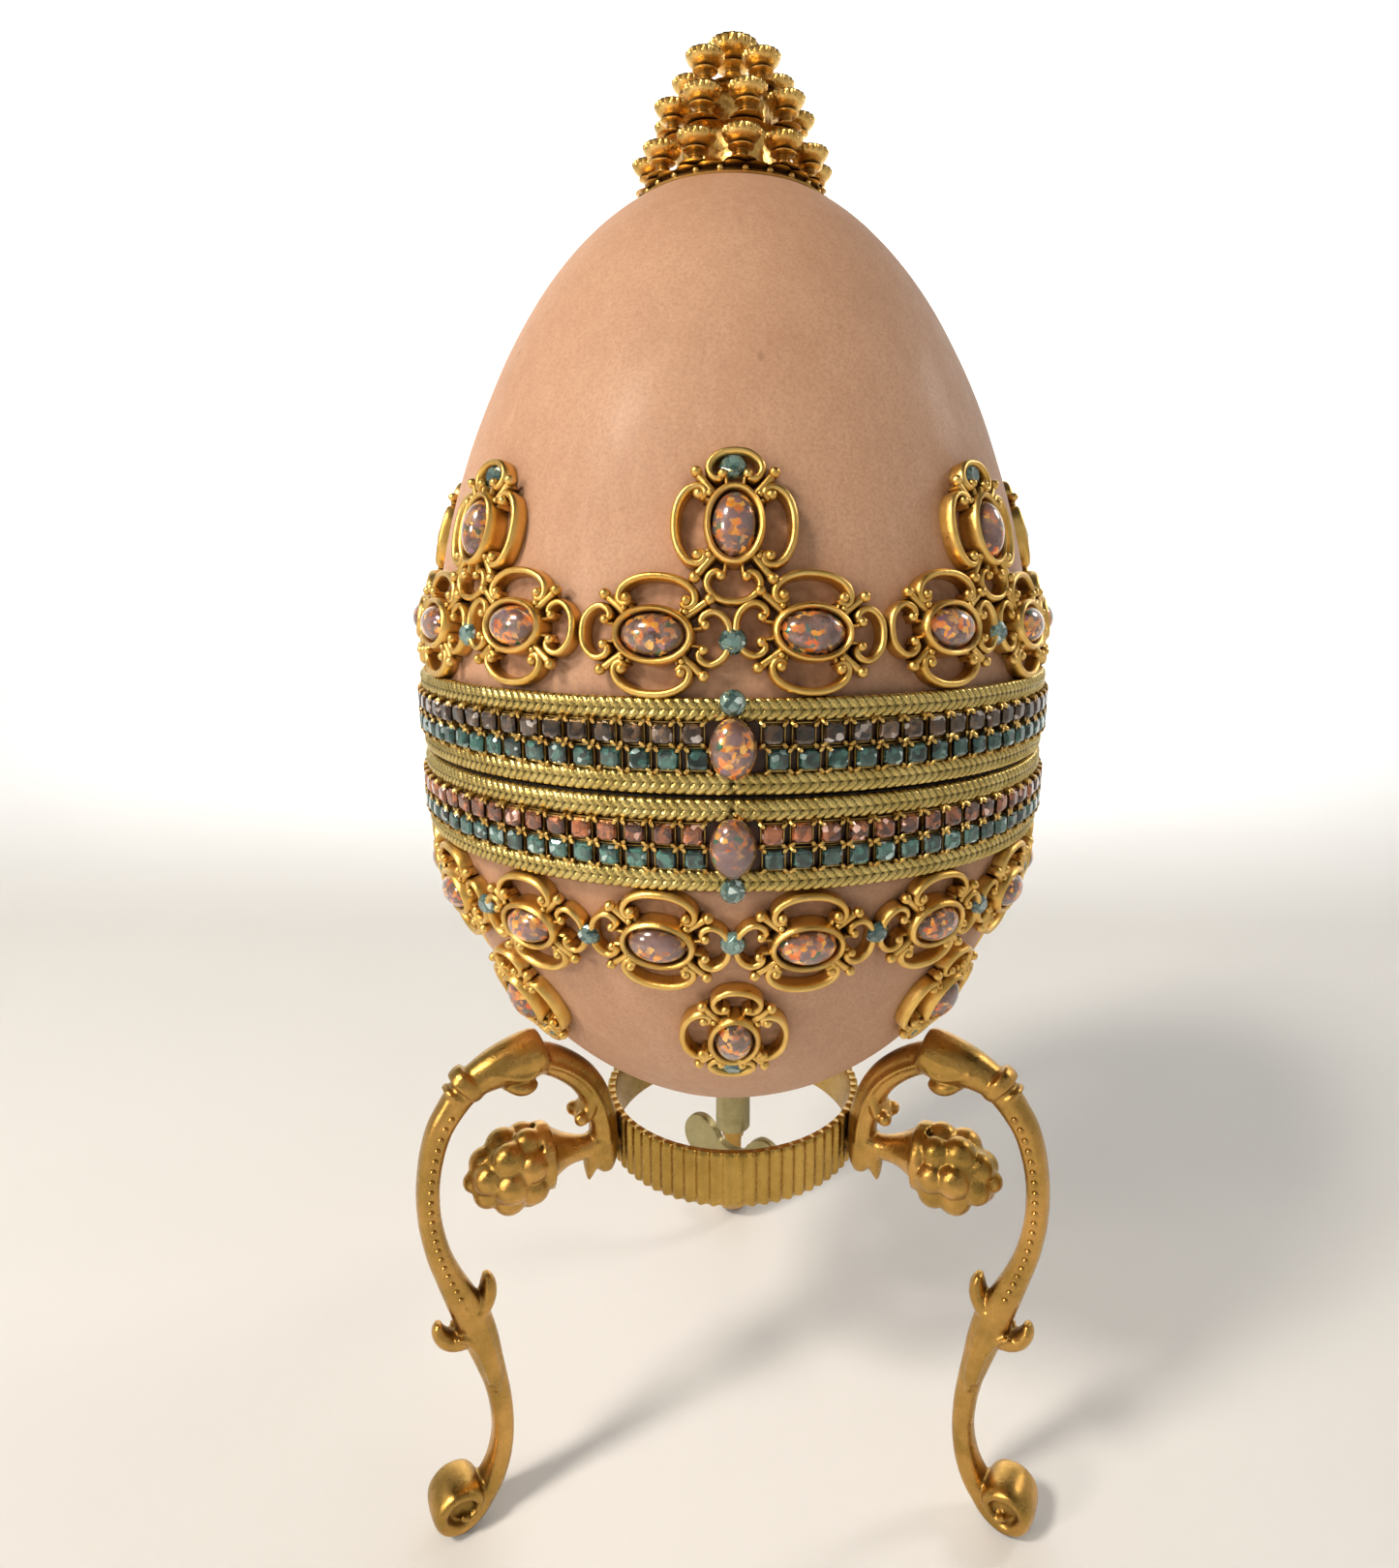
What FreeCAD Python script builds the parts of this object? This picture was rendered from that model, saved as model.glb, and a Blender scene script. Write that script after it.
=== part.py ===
import FreeCAD, Part
import math
import os

import Sketcher
from FreeCAD import Matrix, Placement, Rotation, Vector

# A jewelled eggshell box that opens at its widest part and rests in a three-legged gilt stand.
# A small musical movement sits in the bottom half, and its winding key comes out underneath.
# Millimetres, +Z up. The origin is on the egg's axis, on the surface that the feet stand on,
# and the clasp faces -Y. Heights with "rise" or "drop" in their names are counted from the seam.

SIZES = {
    # The eggshell: it is egg_rise tall above the seam and egg_drop deep below it.
    "seam_height": 106.4,
    "egg_radius": 37.86,
    "egg_rise": 65.0,
    "egg_drop": 49.5,
    "shell_wall": 1.6,
    "seam_gap": 0.15,
    "bottom_hole": 4.0,
    # Bands of braid and stone chain beside the seam.
    "band_radius": 39.2,
    "band_inner": 38.32,
    "braid_width": 1.8,
    "braid_near": 0.4,
    "braid_far": 7.3,
    "row_near": 2.4,
    "row_far": 4.8,
    "row_width": 2.3,
    "cup_length": 2.45,
    "chain_pitch": 2.8,
    "chain_front_gap": 2.3,
    "stone_side": 2.0,
    "stone_seat": 38.75,
    "stone_top": 39.6,
    # Cast medallions, their cabochons and the small flat-backed stones.
    "medal_length": 14.2,
    "medal_width": 11.2,
    "medal_wire": 1.2,
    "medal_thick": 1.6,
    "bezel_thick": 2.1,
    "cab_length": 6.0,
    "cab_width": 4.0,
    "cab_dome": 1.9,
    "group_count": 8,
    "pair_angle": 11.25,
    "lid_side_rise": 14.8,
    "lid_top_rise": 24.3,
    "base_side_drop": 15.0,
    "base_low_drop": 26.8,
    "flatback_radius": 1.3,
    "flatback_thick": 1.0,
    # Clasp cabochons at the front of the bands.
    "clasp_width": 4.4,
    "clasp_length": 5.8,
    "clasp_dome": 1.9,
    "clasp_rise": 4.7,
    "clasp_seat": 39.65,
    "clasp_stone_rise": 8.95,
    # The hinge at the back.
    "hinge_reach": 40.6,
    "hinge_width": 12.0,
    "leaf_outer": 39.9,
    "leaf_height": 8.2,
    "knuckle_radius": 1.25,
    "knuckle_gap": 0.1,
    "lid_knuckle": 3.8,
    "hinge_pin_radius": 0.45,
    "hinge_clearance": 0.05,
    "hinge_gap_width": 12.6,
    # The finial on the tip.
    "finial_foot_rise": 62.1,
    "finial_foot_radius": 11.2,
    "finial_foot_thick": 1.4,
    "low_tier_radius": 9.6,
    "low_tier_count": 12,
    "mid_tier_radius": 7.4,
    "mid_tier_rise": 68.7,
    "mid_tier_count": 9,
    "high_tier_radius": 5.3,
    "high_tier_rise": 73.0,
    "high_tier_count": 5,
    "top_stud_rise": 74.7,
    "tier_plate_thick": 0.35,
    "tier_plate_reach": 1.2,
    "crown_scale": 1.38,
    "stud_head": 2.1,
    "stud_height": 3.7,
    # The stand: a fluted ring on three scrolled legs.
    "ring_outer": 18.3,
    "ring_wall": 1.3,
    "ring_foot": 46.6,
    "ring_height": 7.9,
    "flute_count": 66,
    "flute_radius": 1.2,
    "flute_reach": 19.35,
    "leg_thick": 4.4,
    "rivet_radius": 1.0,
    "rivet_inner": 16.5,
    "rivet_length": 4.0,
    "rivet_height": 50.6,
    # The musical movement in the bottom half.
    "board_drop": 35.0,
    "board_thick": 3.0,
    "plate_thick": 1.6,
    "plate_left": -20.0,
    "plate_right": 25.0,
    "plate_depth": 21.0,
    "arbor_radius": 1.5,
    "arbor_bore": 1.58,
    "housing_radius": 6.0,
    "housing_height": 9.0,
    "housing_cap": 1.5,
    "housing_gap": 0.4,
    "strap_reach": 16.0,
    "strap_width": 6.0,
    "strap_thick": 1.0,
    "strap_post": 2.0,
    "wheel_radius": 8.0,
    "wheel_thick": 2.0,
    "wheel_tooth": 1.0,
    "wheel_teeth": 32,
    "axle_drop": 24.4,
    "axle_radius": 0.6,
    "axle_bore": 0.68,
    "axle_end": 25.2,
    "bearing_near": 8.9,
    "bearing_far": 23.5,
    "bearing_thick": 1.2,
    "bearing_width": 4.0,
    "pinion_radius": 2.1,
    "pinion_teeth": 8,
    "pinion_length": 1.8,
    "pinion_tooth": 0.7,
    "drum_radius": 4.6,
    "drum_start": 10.6,
    "drum_length": 11.0,
    "spur_radius": 5.5,
    "spur_start": 22.0,
    "spur_teeth": 12,
    "spur_tooth": 0.9,
    "spur_thick": 1.0,
    "pin_radius": 0.16,
    "pin_tall": 0.25,
    "pin_root": 0.3,
    "worm_side": 7.0,
    "worm_radius": 1.2,
    "worm_length": 9.2,
    "worm_lift": 1.1,
    "worm_groove_lift": 1.9,
    "worm_groove_count": 7,
    "worm_groove_pitch": 1.15,
    "worm_groove_width": 0.5,
    "worm_groove_depth": 0.4,
    "spindle_radius": 0.3,
    "spindle_length": 13.4,
    "spindle_lift": 0.1,
    "fan_reach": 4.0,
    "fan_thick": 0.3,
    "fan_height": 1.8,
    "fan_lift": 11.7,
    "bracket_width": 3.0,
    "bracket_thick": 1.2,
    "bracket_height": 11.4,
    "bracket_arm": 0.8,
    "bracket_arm_length": 3.2,
    "bracket_nose": 1.2,
    "bracket_bore": 0.38,
    "comb_teeth": 12,
    "comb_gap": 0.4,
    "comb_back": 10.2,
    "comb_thick": 0.8,
    "comb_slit": 0.28,
    "comb_slit_length": 2.6,
    "comb_block_depth": 2.4,
    "screw_inset": 1.2,
    "screw_radius": 0.55,
    "screw_bore": 0.6,
    "screw_depth": 2.0,
    "screw_head_radius": 1.0,
    "screw_head_height": 0.7,
    # The winding key.
    "hub_radius": 2.5,
    "hub_bore": 2.58,
    "hub_top_drop": 45.0,
    "wing_top_drop": 57.5,
    "wing_height": 9.5,
    "wing_reach": 9.0,
    "wing_thick": 1.2,
    "wing_turn": 35.0,
    "wing_corner": 3.0,
    "wing_socket": 2.0,
    "arbor_overlap": 0.5,
    "arbor_above_board": 12.0,
    "bushing_flange": 2.4,
    "bushing_flange_thick": 0.8,
    "bushing_length": 4.4,
    "bushing_gap": 0.1,
    # The padded tray and the linings.
    "tray_drop": 13.0,
    "tray_thick": 2.0,
    "lining_gap": 0.3,
    "lining_wall": 1.0,
    "pad_thick": 2.4,
}

NODES = []


def start_document():
    document = FreeCAD.newDocument("JewelledEggBox")
    table = document.addObject("Spreadsheet::Sheet", "Sizes")
    for row, (alias, value) in enumerate(SIZES.items(), start=1):
        cell = f"B{row}"
        table.set(f"A{row}", alias)
        table.set(cell, str(value))
        table.setAlias(cell, alias)
    document.recompute()
    return document, table


doc, sheet = start_document()


def size(alias):
    """The number in the sheet under this alias."""
    return float(sheet.get(alias))


def node(item):
    """Mark a document object as one of the sub-parts that are written out."""
    NODES.append(item)
    return item


def bind(item, **sizes):
    """Tie properties to the sheet: bind(pin, Radius="pin_radius") reads the cell of that alias."""
    for prop, expression in sizes.items():
        item.setExpression(prop, expression)
    return item


def cell(expression):
    """Put the sheet's name before each alias in an expression."""
    words = expression.split(" ")
    return " ".join(f"Sizes.{word}" if word in SIZES else word for word in words)


def cylinder(label, radius, height, turn=None, x=None, y=None, z=None):
    """A Part cylinder whose radius, height and place are expressions of the sheet."""
    item = doc.addObject("Part::Cylinder", label)
    if turn is not None:
        item.Placement = Placement(Vector(), turn)
    return place(bind(item, Radius=cell(radius), Height=cell(height)), x, y, z)


def cone(label, radius_low, radius_high, height, turn=None, x=None, y=None, z=None):
    item = doc.addObject("Part::Cone", label)
    if turn is not None:
        item.Placement = Placement(Vector(), turn)
    bind(item, Radius1=cell(radius_low), Radius2=cell(radius_high), Height=cell(height))
    return place(item, x, y, z)


def box(label, length, width, height, x=None, y=None, z=None):
    item = doc.addObject("Part::Box", label)
    bind(item, Length=cell(length), Width=cell(width), Height=cell(height))
    return place(item, x, y, z)


def place(item, x=None, y=None, z=None):
    for axis, expression in (("x", x), ("y", y), ("z", z)):
        if expression is not None:
            item.setExpression(f"Placement.Base.{axis}", cell(expression))
    return item


def cut(label, base, tool):
    item = doc.addObject("Part::Cut", label)
    item.Base = base
    item.Tool = tool
    return item


def fuse(label, *shapes):
    item = doc.addObject("Part::MultiFuse", label)
    item.Shapes = list(shapes)
    return item


def feature(label, shape):
    """A sub-part whose free-form shape is worked out by Part's own functions."""
    item = doc.addObject("Part::Feature", label)
    item.Shape = shape
    return node(item)


ALONG_X = Rotation(Vector(0, 1, 0), 90)
ALONG_Y = Rotation(Vector(1, 0, 0), -90)
FRONTWARD = Rotation(Vector(1, 0, 0), 90)
SEAM = size("seam_height")


# ---------------------------------------------------------------- the egg's own curve

EGG_TAPER = (-0.146, 0.018, 0.054)
CURVE_STEPS = 9


def egg_point(height, inset=0.0):
    """Radius of the egg's surface at a height above the seam, or of one inset inside it."""
    top = size("egg_rise") - inset
    bottom = -size("egg_drop") + inset
    middle = (top + bottom) / 2
    share = (height - middle) / (top - middle)
    taper = 1 + sum(factor * share ** power for power, factor in enumerate(EGG_TAPER, start=1))
    return (size("egg_radius") - inset) * math.sqrt(max(0.0, 1 - share * share)) * taper


def egg_curve(low, high, inset=0.0):
    """The egg's outline between two heights, in the XZ plane, ending on the axis at a pole."""
    top = size("egg_rise") - inset
    bottom = -size("egg_drop") + inset
    middle = (top + bottom) / 2
    first, last = (math.asin((edge - middle) / (top - middle)) for edge in (low, high))
    points = []
    for step in range(CURVE_STEPS + 1):
        angle = first + (last - first) * step / CURVE_STEPS
        height = middle + (top - middle) * math.sin(angle)
        points.append(Vector(egg_point(height, inset), 0, SEAM + height))
    curve = Part.BSplineCurve()
    curve.interpolate(points)
    return curve.toShape(), points


def revolve(edges):
    face = Part.Face(Part.Wire(edges))
    return face.revolve(Vector(), Vector(0, 0, 1), 360)


def cup(low, high, outer_inset, inner_inset, inner_low, inner_high):
    """A half egg with a wall, closed at its pole and open at the seam."""
    outer, outer_points = egg_curve(low, high, outer_inset)
    inner, inner_points = egg_curve(inner_low, inner_high, inner_inset)
    rims = [Part.makeLine(inner_points[end], outer_points[end]) for end in (0, -1)]
    return revolve(Part.__sortEdges__([outer, inner] + rims))


def egg_solid(inset):
    outline, points = egg_curve(-size("egg_drop") + inset, size("egg_rise") - inset, inset)
    return revolve(Part.__sortEdges__([outline, Part.makeLine(points[0], points[-1])]))


def lid_cup(outer_inset, inner_inset, low):
    top = size("egg_rise")
    return cup(low, top - outer_inset, outer_inset, inner_inset, low, top - inner_inset)


def base_cup(outer_inset, inner_inset, high):
    bottom = -size("egg_drop")
    return cup(bottom + outer_inset, high, outer_inset, inner_inset, bottom + inner_inset, high)


def surface_frame(azimuth, height, lift=0.0, upright=False):
    """Placement on the shell: local Z points out, local X runs round it, or up it when upright."""
    probe = 0.5
    slope = (egg_point(height + probe) - egg_point(height - probe)) / (2 * probe)
    lean = math.atan(slope)
    outward = Vector(math.cos(lean), 0, -math.sin(lean))
    upward = Vector(math.sin(lean), 0, math.cos(lean))
    across = upward.cross(outward)
    origin = Vector(egg_point(height), 0, SEAM + height) + outward * lift
    first, second = (upward, across * -1) if upright else (across, upward)
    frame = Matrix(first.x, second.x, outward.x, origin.x,
                   first.y, second.y, outward.y, origin.y,
                   first.z, second.z, outward.z, origin.z,
                   0, 0, 0, 1)
    spin = Placement(Vector(), Rotation(Vector(0, 0, 1), azimuth - 90))
    return spin.multiply(Placement(frame))


def copies(shape, placements):
    """A group of separate solids: one copy of the shape at each placement."""
    solids = []
    for where in placements:
        solid = shape.copy()
        solid.Placement = where.multiply(shape.Placement)
        solids.append(solid)
    return Part.makeCompound(solids)


# ---------------------------------------------------------------- shells, linings and tray

def make_shells():
    wall = size("shell_wall")
    gap = size("seam_gap")
    feature("lid_shell", lid_cup(0.0, wall, gap))
    hole = Part.makeCylinder(size("bottom_hole"), 20, Vector(0, 0, SEAM - size("egg_drop") - 10))
    feature("base_shell", base_cup(0.0, wall, -gap).cut(hole))


def make_linings():
    outer = size("shell_wall") + size("lining_gap")
    inner = outer + size("lining_wall")
    feature("lid_lining", lid_cup(outer, inner, 0.8))
    floor = -size("tray_drop") + size("tray_thick") + 0.1
    pad_top = floor + size("pad_thick")
    wall_low = pad_top + size("lining_gap")
    wall = Part.makeCylinder(egg_point(wall_low, outer), -0.8 - wall_low, Vector(0, 0, SEAM + wall_low))
    bore = Part.makeCylinder(egg_point(wall_low, inner), -0.8 - wall_low, Vector(0, 0, SEAM + wall_low))
    feature("base_wall_lining", wall.cut(bore))
    pad = Part.makeCylinder(egg_point(floor, outer), size("pad_thick"), Vector(0, 0, SEAM + floor))
    rim = [edge for edge in pad.Edges if edge.Closed and edge.BoundBox.ZMin > SEAM + floor + 0.1]
    feature("base_pad", pad.makeFillet(size("pad_thick") / 3, rim))


def disc_in_shell(label, low, thick):
    """A disc that drops into the bottom half and wedges just inside its wall."""
    slack = 0.15
    inset = size("shell_wall")
    item = doc.addObject("Part::Cone", label)
    item.Radius1 = egg_point(-size(low), inset) - slack
    item.Radius2 = egg_point(-size(low) + size(thick), inset) - slack
    bind(item, Height=cell(thick))
    return place(item, z=f"seam_height - {low}")


def make_discs():
    tray = disc_in_shell("tray", "tray_drop", "tray_thick")
    node(tray)
    blank = disc_in_shell("board_blank", "board_drop", "board_thick")
    hole = cylinder("board_hole", "hub_radius + 0.5", "board_thick * 3",
                    z="seam_height - board_drop - board_thick")
    node(cut("movement_board", blank, hole))


# ---------------------------------------------------------------- bands beside the seam

def band_ring(label, low):
    """A flat ring round the shell, open at the back where the hinge is."""
    outer = cylinder(f"{label}_outer", "band_radius", "braid_width", z=low)
    inner = cylinder(f"{label}_inner", "band_inner", "braid_width", z=low)
    gap = box(f"{label}_gap", "hinge_gap_width", "band_radius", "braid_width",
              x="hinge_gap_width * -0.5", z=low)
    node(cut(label, cut(f"{label}_ring", outer, inner), gap))


def make_braids():
    band_ring("lid_braid_near", "seam_height + braid_near")
    band_ring("lid_braid_far", "seam_height + braid_far")
    band_ring("base_braid_near", "seam_height - braid_near - braid_width")
    band_ring("base_braid_far", "seam_height - braid_far - braid_width")


def chain_angles():
    """Azimuths of the stones, from the clasp round to the hinge on each side."""
    step = math.degrees(size("chain_pitch") / size("stone_seat"))
    start = math.degrees((size("chain_front_gap") + size("chain_pitch") / 2) / size("stone_seat"))
    limit = 180 - math.degrees((size("hinge_gap_width") + size("cup_length")) / 2 / size("stone_seat"))
    count = int((limit - start) / step) + 1
    return [side * (start + step * place_number) for side in (-1, 1) for place_number in range(count)]


def chain_row(shape, middle):
    placements = []
    for angle in chain_angles():
        turn = Rotation(Vector(0, 0, 1), angle - 90)
        placements.append(Placement(Vector(0, 0, SEAM + middle), turn))
    return copies(shape, placements)


def centred_box(inner, outer, across, tall):
    return Part.makeBox(outer - inner, across, tall, Vector(inner, -across / 2, -tall / 2))


def make_chains():
    """Square stones in prong cups: two rows on the lid and two on the base."""
    tall = size("row_width")
    side = size("stone_side")
    seat = size("stone_seat")
    top = size("stone_top")
    slack = 0.03
    cup_shape = centred_box(size("band_inner"), top - 0.2, size("cup_length"), tall)
    pocket = side + 2 * slack
    cup_shape = cup_shape.cut(centred_box(seat - slack, top, pocket, pocket))
    stone = centred_box(seat, top, side, side)
    outer_edges = [edge for edge in stone.Edges if edge.BoundBox.XMin > top - 0.01]
    stone = stone.makeChamfer(0.35, outer_edges)
    near = size("row_near") + tall / 2
    far = size("row_far") + tall / 2
    for half, sign in (("lid", 1), ("base", -1)):
        rows = [chain_row(cup_shape, sign * near), chain_row(cup_shape, sign * far)]
        feature(f"{half}_chain_cups", Part.makeCompound([solid for row in rows for solid in row.Solids]))
        feature(f"{half}_stones_near", chain_row(stone, sign * near))
        feature(f"{half}_stones_far", chain_row(stone, sign * far))


# ---------------------------------------------------------------- medallions and loose stones

def oval(long_half, short_half, low, high):
    outline = Part.Ellipse(Vector(0, 0, low), long_half, short_half).toShape()
    return Part.Face(Part.Wire([outline])).extrude(Vector(0, 0, high - low))


def medallion():
    """One cast frame: an outer oval of wire, four diagonal posts and a bezel for the cabochon."""
    root = -1.2
    long_half = size("medal_length") / 2
    short_half = size("medal_width") / 2
    wire = size("medal_wire")
    thick = size("medal_thick")
    loop = oval(long_half, short_half, root, thick)
    loop = loop.cut(oval(long_half - wire, short_half - wire, root, thick))
    cab_long = size("cab_length") / 2
    cab_short = size("cab_width") / 2
    bezel_wall = 0.65
    bezel = oval(cab_long + bezel_wall, cab_short + bezel_wall, root, size("bezel_thick"))
    posts = []
    for corner in (40, 140, 220, 320):
        post = Part.makeBox(long_half, wire, thick - root - 0.2, Vector(0, -wire / 2, root))
        post.rotate(Vector(), Vector(0, 0, 1), corner)
        posts.append(post.common(oval(long_half - wire / 2, short_half - wire / 2, root, thick)))
    frame = loop.fuse([bezel] + posts).removeSplitter()
    slack = 0.03
    return frame.cut(oval(cab_long + slack, cab_short + slack, cab_seat() - slack, size("bezel_thick") + 1))


def cab_seat():
    return 1.0


def dome(long_half, short_half, tall, seat):
    """A cabochon: half of an ellipsoid on an oval base."""
    half = Part.makeSphere(1.0, Vector(), Vector(0, 0, 1), 0, 90, 360)
    stretch = Matrix(long_half, 0, 0, 0, 0, short_half, 0, 0, 0, 0, tall, seat, 0, 0, 0, 1)
    return half.transformGeometry(stretch)


def group_azimuths():
    count = int(size("group_count"))
    return [360.0 * number / count for number in range(count)]


def side_azimuths():
    pair = size("pair_angle")
    return [middle + side * pair for middle in group_azimuths() for side in (-1, 1)]


def spin_copies(shape, azimuths):
    """Copies of a shape that was made at the clasp, turned round the egg's axis."""
    return copies(shape, [Placement(Vector(), Rotation(Vector(0, 0, 1), angle)) for angle in azimuths])


def seated(shape, where, egg):
    """Place a shape on the shell and cut its back to the shell's curve."""
    moved = shape.copy()
    moved.Placement = where
    return moved.cut(egg)


def make_medallions():
    egg = egg_solid(-0.03)
    frame = medallion()
    cabochon = dome(size("cab_length") / 2, size("cab_width") / 2, size("cab_dome"), cab_seat())
    flatback = Part.makeCone(size("flatback_radius"), size("flatback_radius") * 0.6, size("flatback_thick"))
    over_end = size("medal_thick") + 0.08
    over_join = over_end + size("medal_length") ** 2 / (8 * size("egg_radius"))
    loop_end = size("medal_length") / 2 - size("medal_wire") * 0.9
    halves = (
        ("lid", size("lid_side_rise"), size("lid_top_rise"), 1),
        ("base", -size("base_side_drop"), -size("base_low_drop"), -1),
    )
    for half, side_height, end_height, sign in halves:
        side_place = surface_frame(0, side_height)
        end_place = surface_frame(0, end_height, upright=True)
        side_frame = seated(frame, side_place, egg)
        neighbours = spin_copies(side_frame, [-size("pair_angle"), size("pair_angle")])
        end_frame = seated(frame, end_place, egg).cut(neighbours)
        end_frame = max(end_frame.Solids, key=lambda solid: solid.Volume)
        side_frames = spin_copies(side_frame, side_azimuths())
        end_frames = spin_copies(end_frame, group_azimuths())
        feature(f"{half}_side_medallions", side_frames)
        feature(f"{half}_end_medallions", end_frames)
        side_cab = cabochon.copy()
        side_cab.Placement = side_place
        end_cab = cabochon.copy()
        end_cab.Placement = end_place
        cabs = spin_copies(side_cab, side_azimuths()).Solids + spin_copies(end_cab, group_azimuths()).Solids
        feature(f"{half}_cabochons", Part.makeCompound(cabs))
        join = flatback.copy()
        join.Placement = surface_frame(0, side_height, lift=over_join)
        tip = flatback.copy()
        tip.Placement = end_place.multiply(Placement(Vector(sign * loop_end, 0, over_end), Rotation()))
        joins = group_azimuths()
        if half == "base":
            joins = joins + [angle + 2 * size("pair_angle") for angle in joins]
        stones = spin_copies(join, joins).Solids + spin_copies(tip, group_azimuths()).Solids
        feature(f"{half}_small_stones", Part.makeCompound(stones))


def make_clasp():
    """One oval cabochon and one small stone on each band, at the front."""
    for half, sign in (("lid", "+"), ("base", "-")):
        cabochon = doc.addObject("Part::Ellipsoid", f"{half}_clasp_cabochon")
        cabochon.Angle1 = 0
        cabochon.Placement = Placement(Vector(), FRONTWARD)
        bind(cabochon, Radius1=cell("clasp_dome"), Radius2=cell("clasp_width / 2"),
             Radius3=cell("clasp_length / 2"))
        place(cabochon, y="clasp_seat * -1", z=f"seam_height {sign} clasp_rise")
        node(cabochon)
        stone = cone(f"{half}_clasp_stone", "flatback_radius", "flatback_radius * 0.6", "flatback_thick",
                     turn=FRONTWARD, y="clasp_seat * -1", z=f"seam_height {sign} clasp_stone_rise")
        node(stone)


# ---------------------------------------------------------------- the hinge

def leaf(label, sign):
    """A hinge leaf saddled on the shell, with room for the other leaf's knuckles."""
    low = "seam_height + braid_near" if sign > 0 else "seam_height - braid_near - leaf_height"
    plate = box(f"{label}_plate", "hinge_width", "leaf_outer - band_inner + 1.5", "leaf_height",
                x="hinge_width * -0.5", y="band_inner - 1.5", z=low)
    saddle = cylinder(f"{label}_saddle", "band_inner", "leaf_height", z=low)
    plate = cut(f"{label}_saddled", plate, saddle)
    relief = cylinder(f"{label}_relief", "knuckle_radius + knuckle_gap", "hinge_width + 2", turn=ALONG_X,
                      x="hinge_width * -0.5 - 1", y="hinge_reach", z="seam_height")
    plate = cut(f"{label}_relieved", plate, relief)
    barrels = []
    if sign > 0:
        spans = [("lid_knuckle * -0.5", "lid_knuckle")]
    else:
        outer = "hinge_width / 2 - lid_knuckle / 2 - knuckle_gap"
        spans = [("hinge_width * -0.5", outer), ("lid_knuckle / 2 + knuckle_gap", outer)]
    for number, (start, length) in enumerate(spans):
        barrel = cylinder(f"{label}_barrel{number}", "knuckle_radius", length, turn=ALONG_X,
                          x=start, y="hinge_reach", z="seam_height")
        web_low = "seam_height" if sign > 0 else "seam_height - knuckle_radius - 1"
        web = box(f"{label}_web{number}", length, "hinge_reach - leaf_outer + 0.4", "knuckle_radius + 1",
                  x=start, y="leaf_outer - 0.4", z=web_low)
        barrels += [barrel, web]
    solid = fuse(f"{label}_solid", plate, *barrels)
    bore = cylinder(f"{label}_bore", "hinge_pin_radius + hinge_clearance", "hinge_width + 2", turn=ALONG_X,
                    x="hinge_width * -0.5 - 1", y="hinge_reach", z="seam_height")
    node(cut(label, solid, bore))


def make_hinge():
    leaf("lid_hinge_leaf", 1)
    leaf("base_hinge_leaf", -1)
    node(cylinder("hinge_pin", "hinge_pin_radius", "hinge_width + 0.8", turn=ALONG_X,
                  x="hinge_width * -0.5 - 0.4", y="hinge_reach", z="seam_height"))


# ---------------------------------------------------------------- the finial

STUD_OUTLINE = [
    (0, 0), (0.82, 0), (0.82, 0.1), (0.3, 0.14), (0.3, 0.3), (0.68, 0.34), (0.68, 0.42),
    (0.45, 0.48), (0.6, 0.6), (1.0, 0.78), (1.0, 0.86), (0.7, 0.95), (0, 1.0),
]
# Each tier's node, how its radius and count are named, and the azimuth of its first stud.
STUD_TIERS = (
    ("finial_studs_low", "low_tier", 5),
    ("finial_studs_mid", "mid_tier", 12),
    ("finial_studs_high", "high_tier", 36),
)
STUD_LIFT = 0.02


def stud(scale=1.0):
    """A small mushroom: a foot disc, a neck with a collar, and a bowl under a low dome."""
    head = size("stud_head") * scale
    tall = size("stud_height") * scale
    points = [Vector(radius * head, 0, height * tall) for radius, height in STUD_OUTLINE]
    face = Part.Face(Part.makePolygon(points + points[:1]))
    return face.revolve(Vector(), Vector(0, 0, 1), 360)


def stud_tier(label, radius, low, count, first):
    placements = []
    for number in range(int(count)):
        angle = math.radians(first + 360.0 * number / count - 90)
        foot = Vector(radius * math.cos(angle), radius * math.sin(angle), SEAM + low + STUD_LIFT)
        placements.append(Placement(foot, Rotation()))
    feature(label, copies(stud(), placements))


def disc(radius, low, high):
    """An upright cylinder on the axis between two rises."""
    return Part.makeCylinder(radius, high - low, Vector(0, 0, SEAM + low))


def make_finial():
    """Three tiers of studs round a stepped core, and a larger stud on top."""
    foot_rise = size("finial_foot_rise")
    foot_top = foot_rise + size("finial_foot_thick")
    foot = disc(size("finial_foot_radius"), foot_rise, foot_top)
    feature("finial_foot", foot.cut(egg_solid(-0.03)))
    behind_heads = size("stud_head") + 0.1
    plate_thick = size("tier_plate_thick")
    top = size("top_stud_rise")
    levels = [foot_top, size("mid_tier_rise"), size("high_tier_rise"), top]
    steps = []
    for (label, tier, first), low, step_top in zip(STUD_TIERS, levels, levels[1:]):
        radius = size(f"{tier}_radius")
        stud_tier(label, radius, low, size(f"{tier}_count"), first)
        steps.append(disc(radius - behind_heads, low + STUD_LIFT if low == foot_top else low, step_top))
        if low > foot_top:
            steps.append(disc(radius + size("tier_plate_reach"), low - plate_thick, low))
    core = steps[0].fuse(steps[1:]).removeSplitter()
    feature("finial_core", core.cut(egg_solid(-0.08)))
    crown = stud(size("crown_scale"))
    crown.Placement = Placement(Vector(0, 0, SEAM + top + STUD_LIFT), Rotation())
    feature("finial_top_stud", crown)


# ---------------------------------------------------------------- the stand

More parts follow.
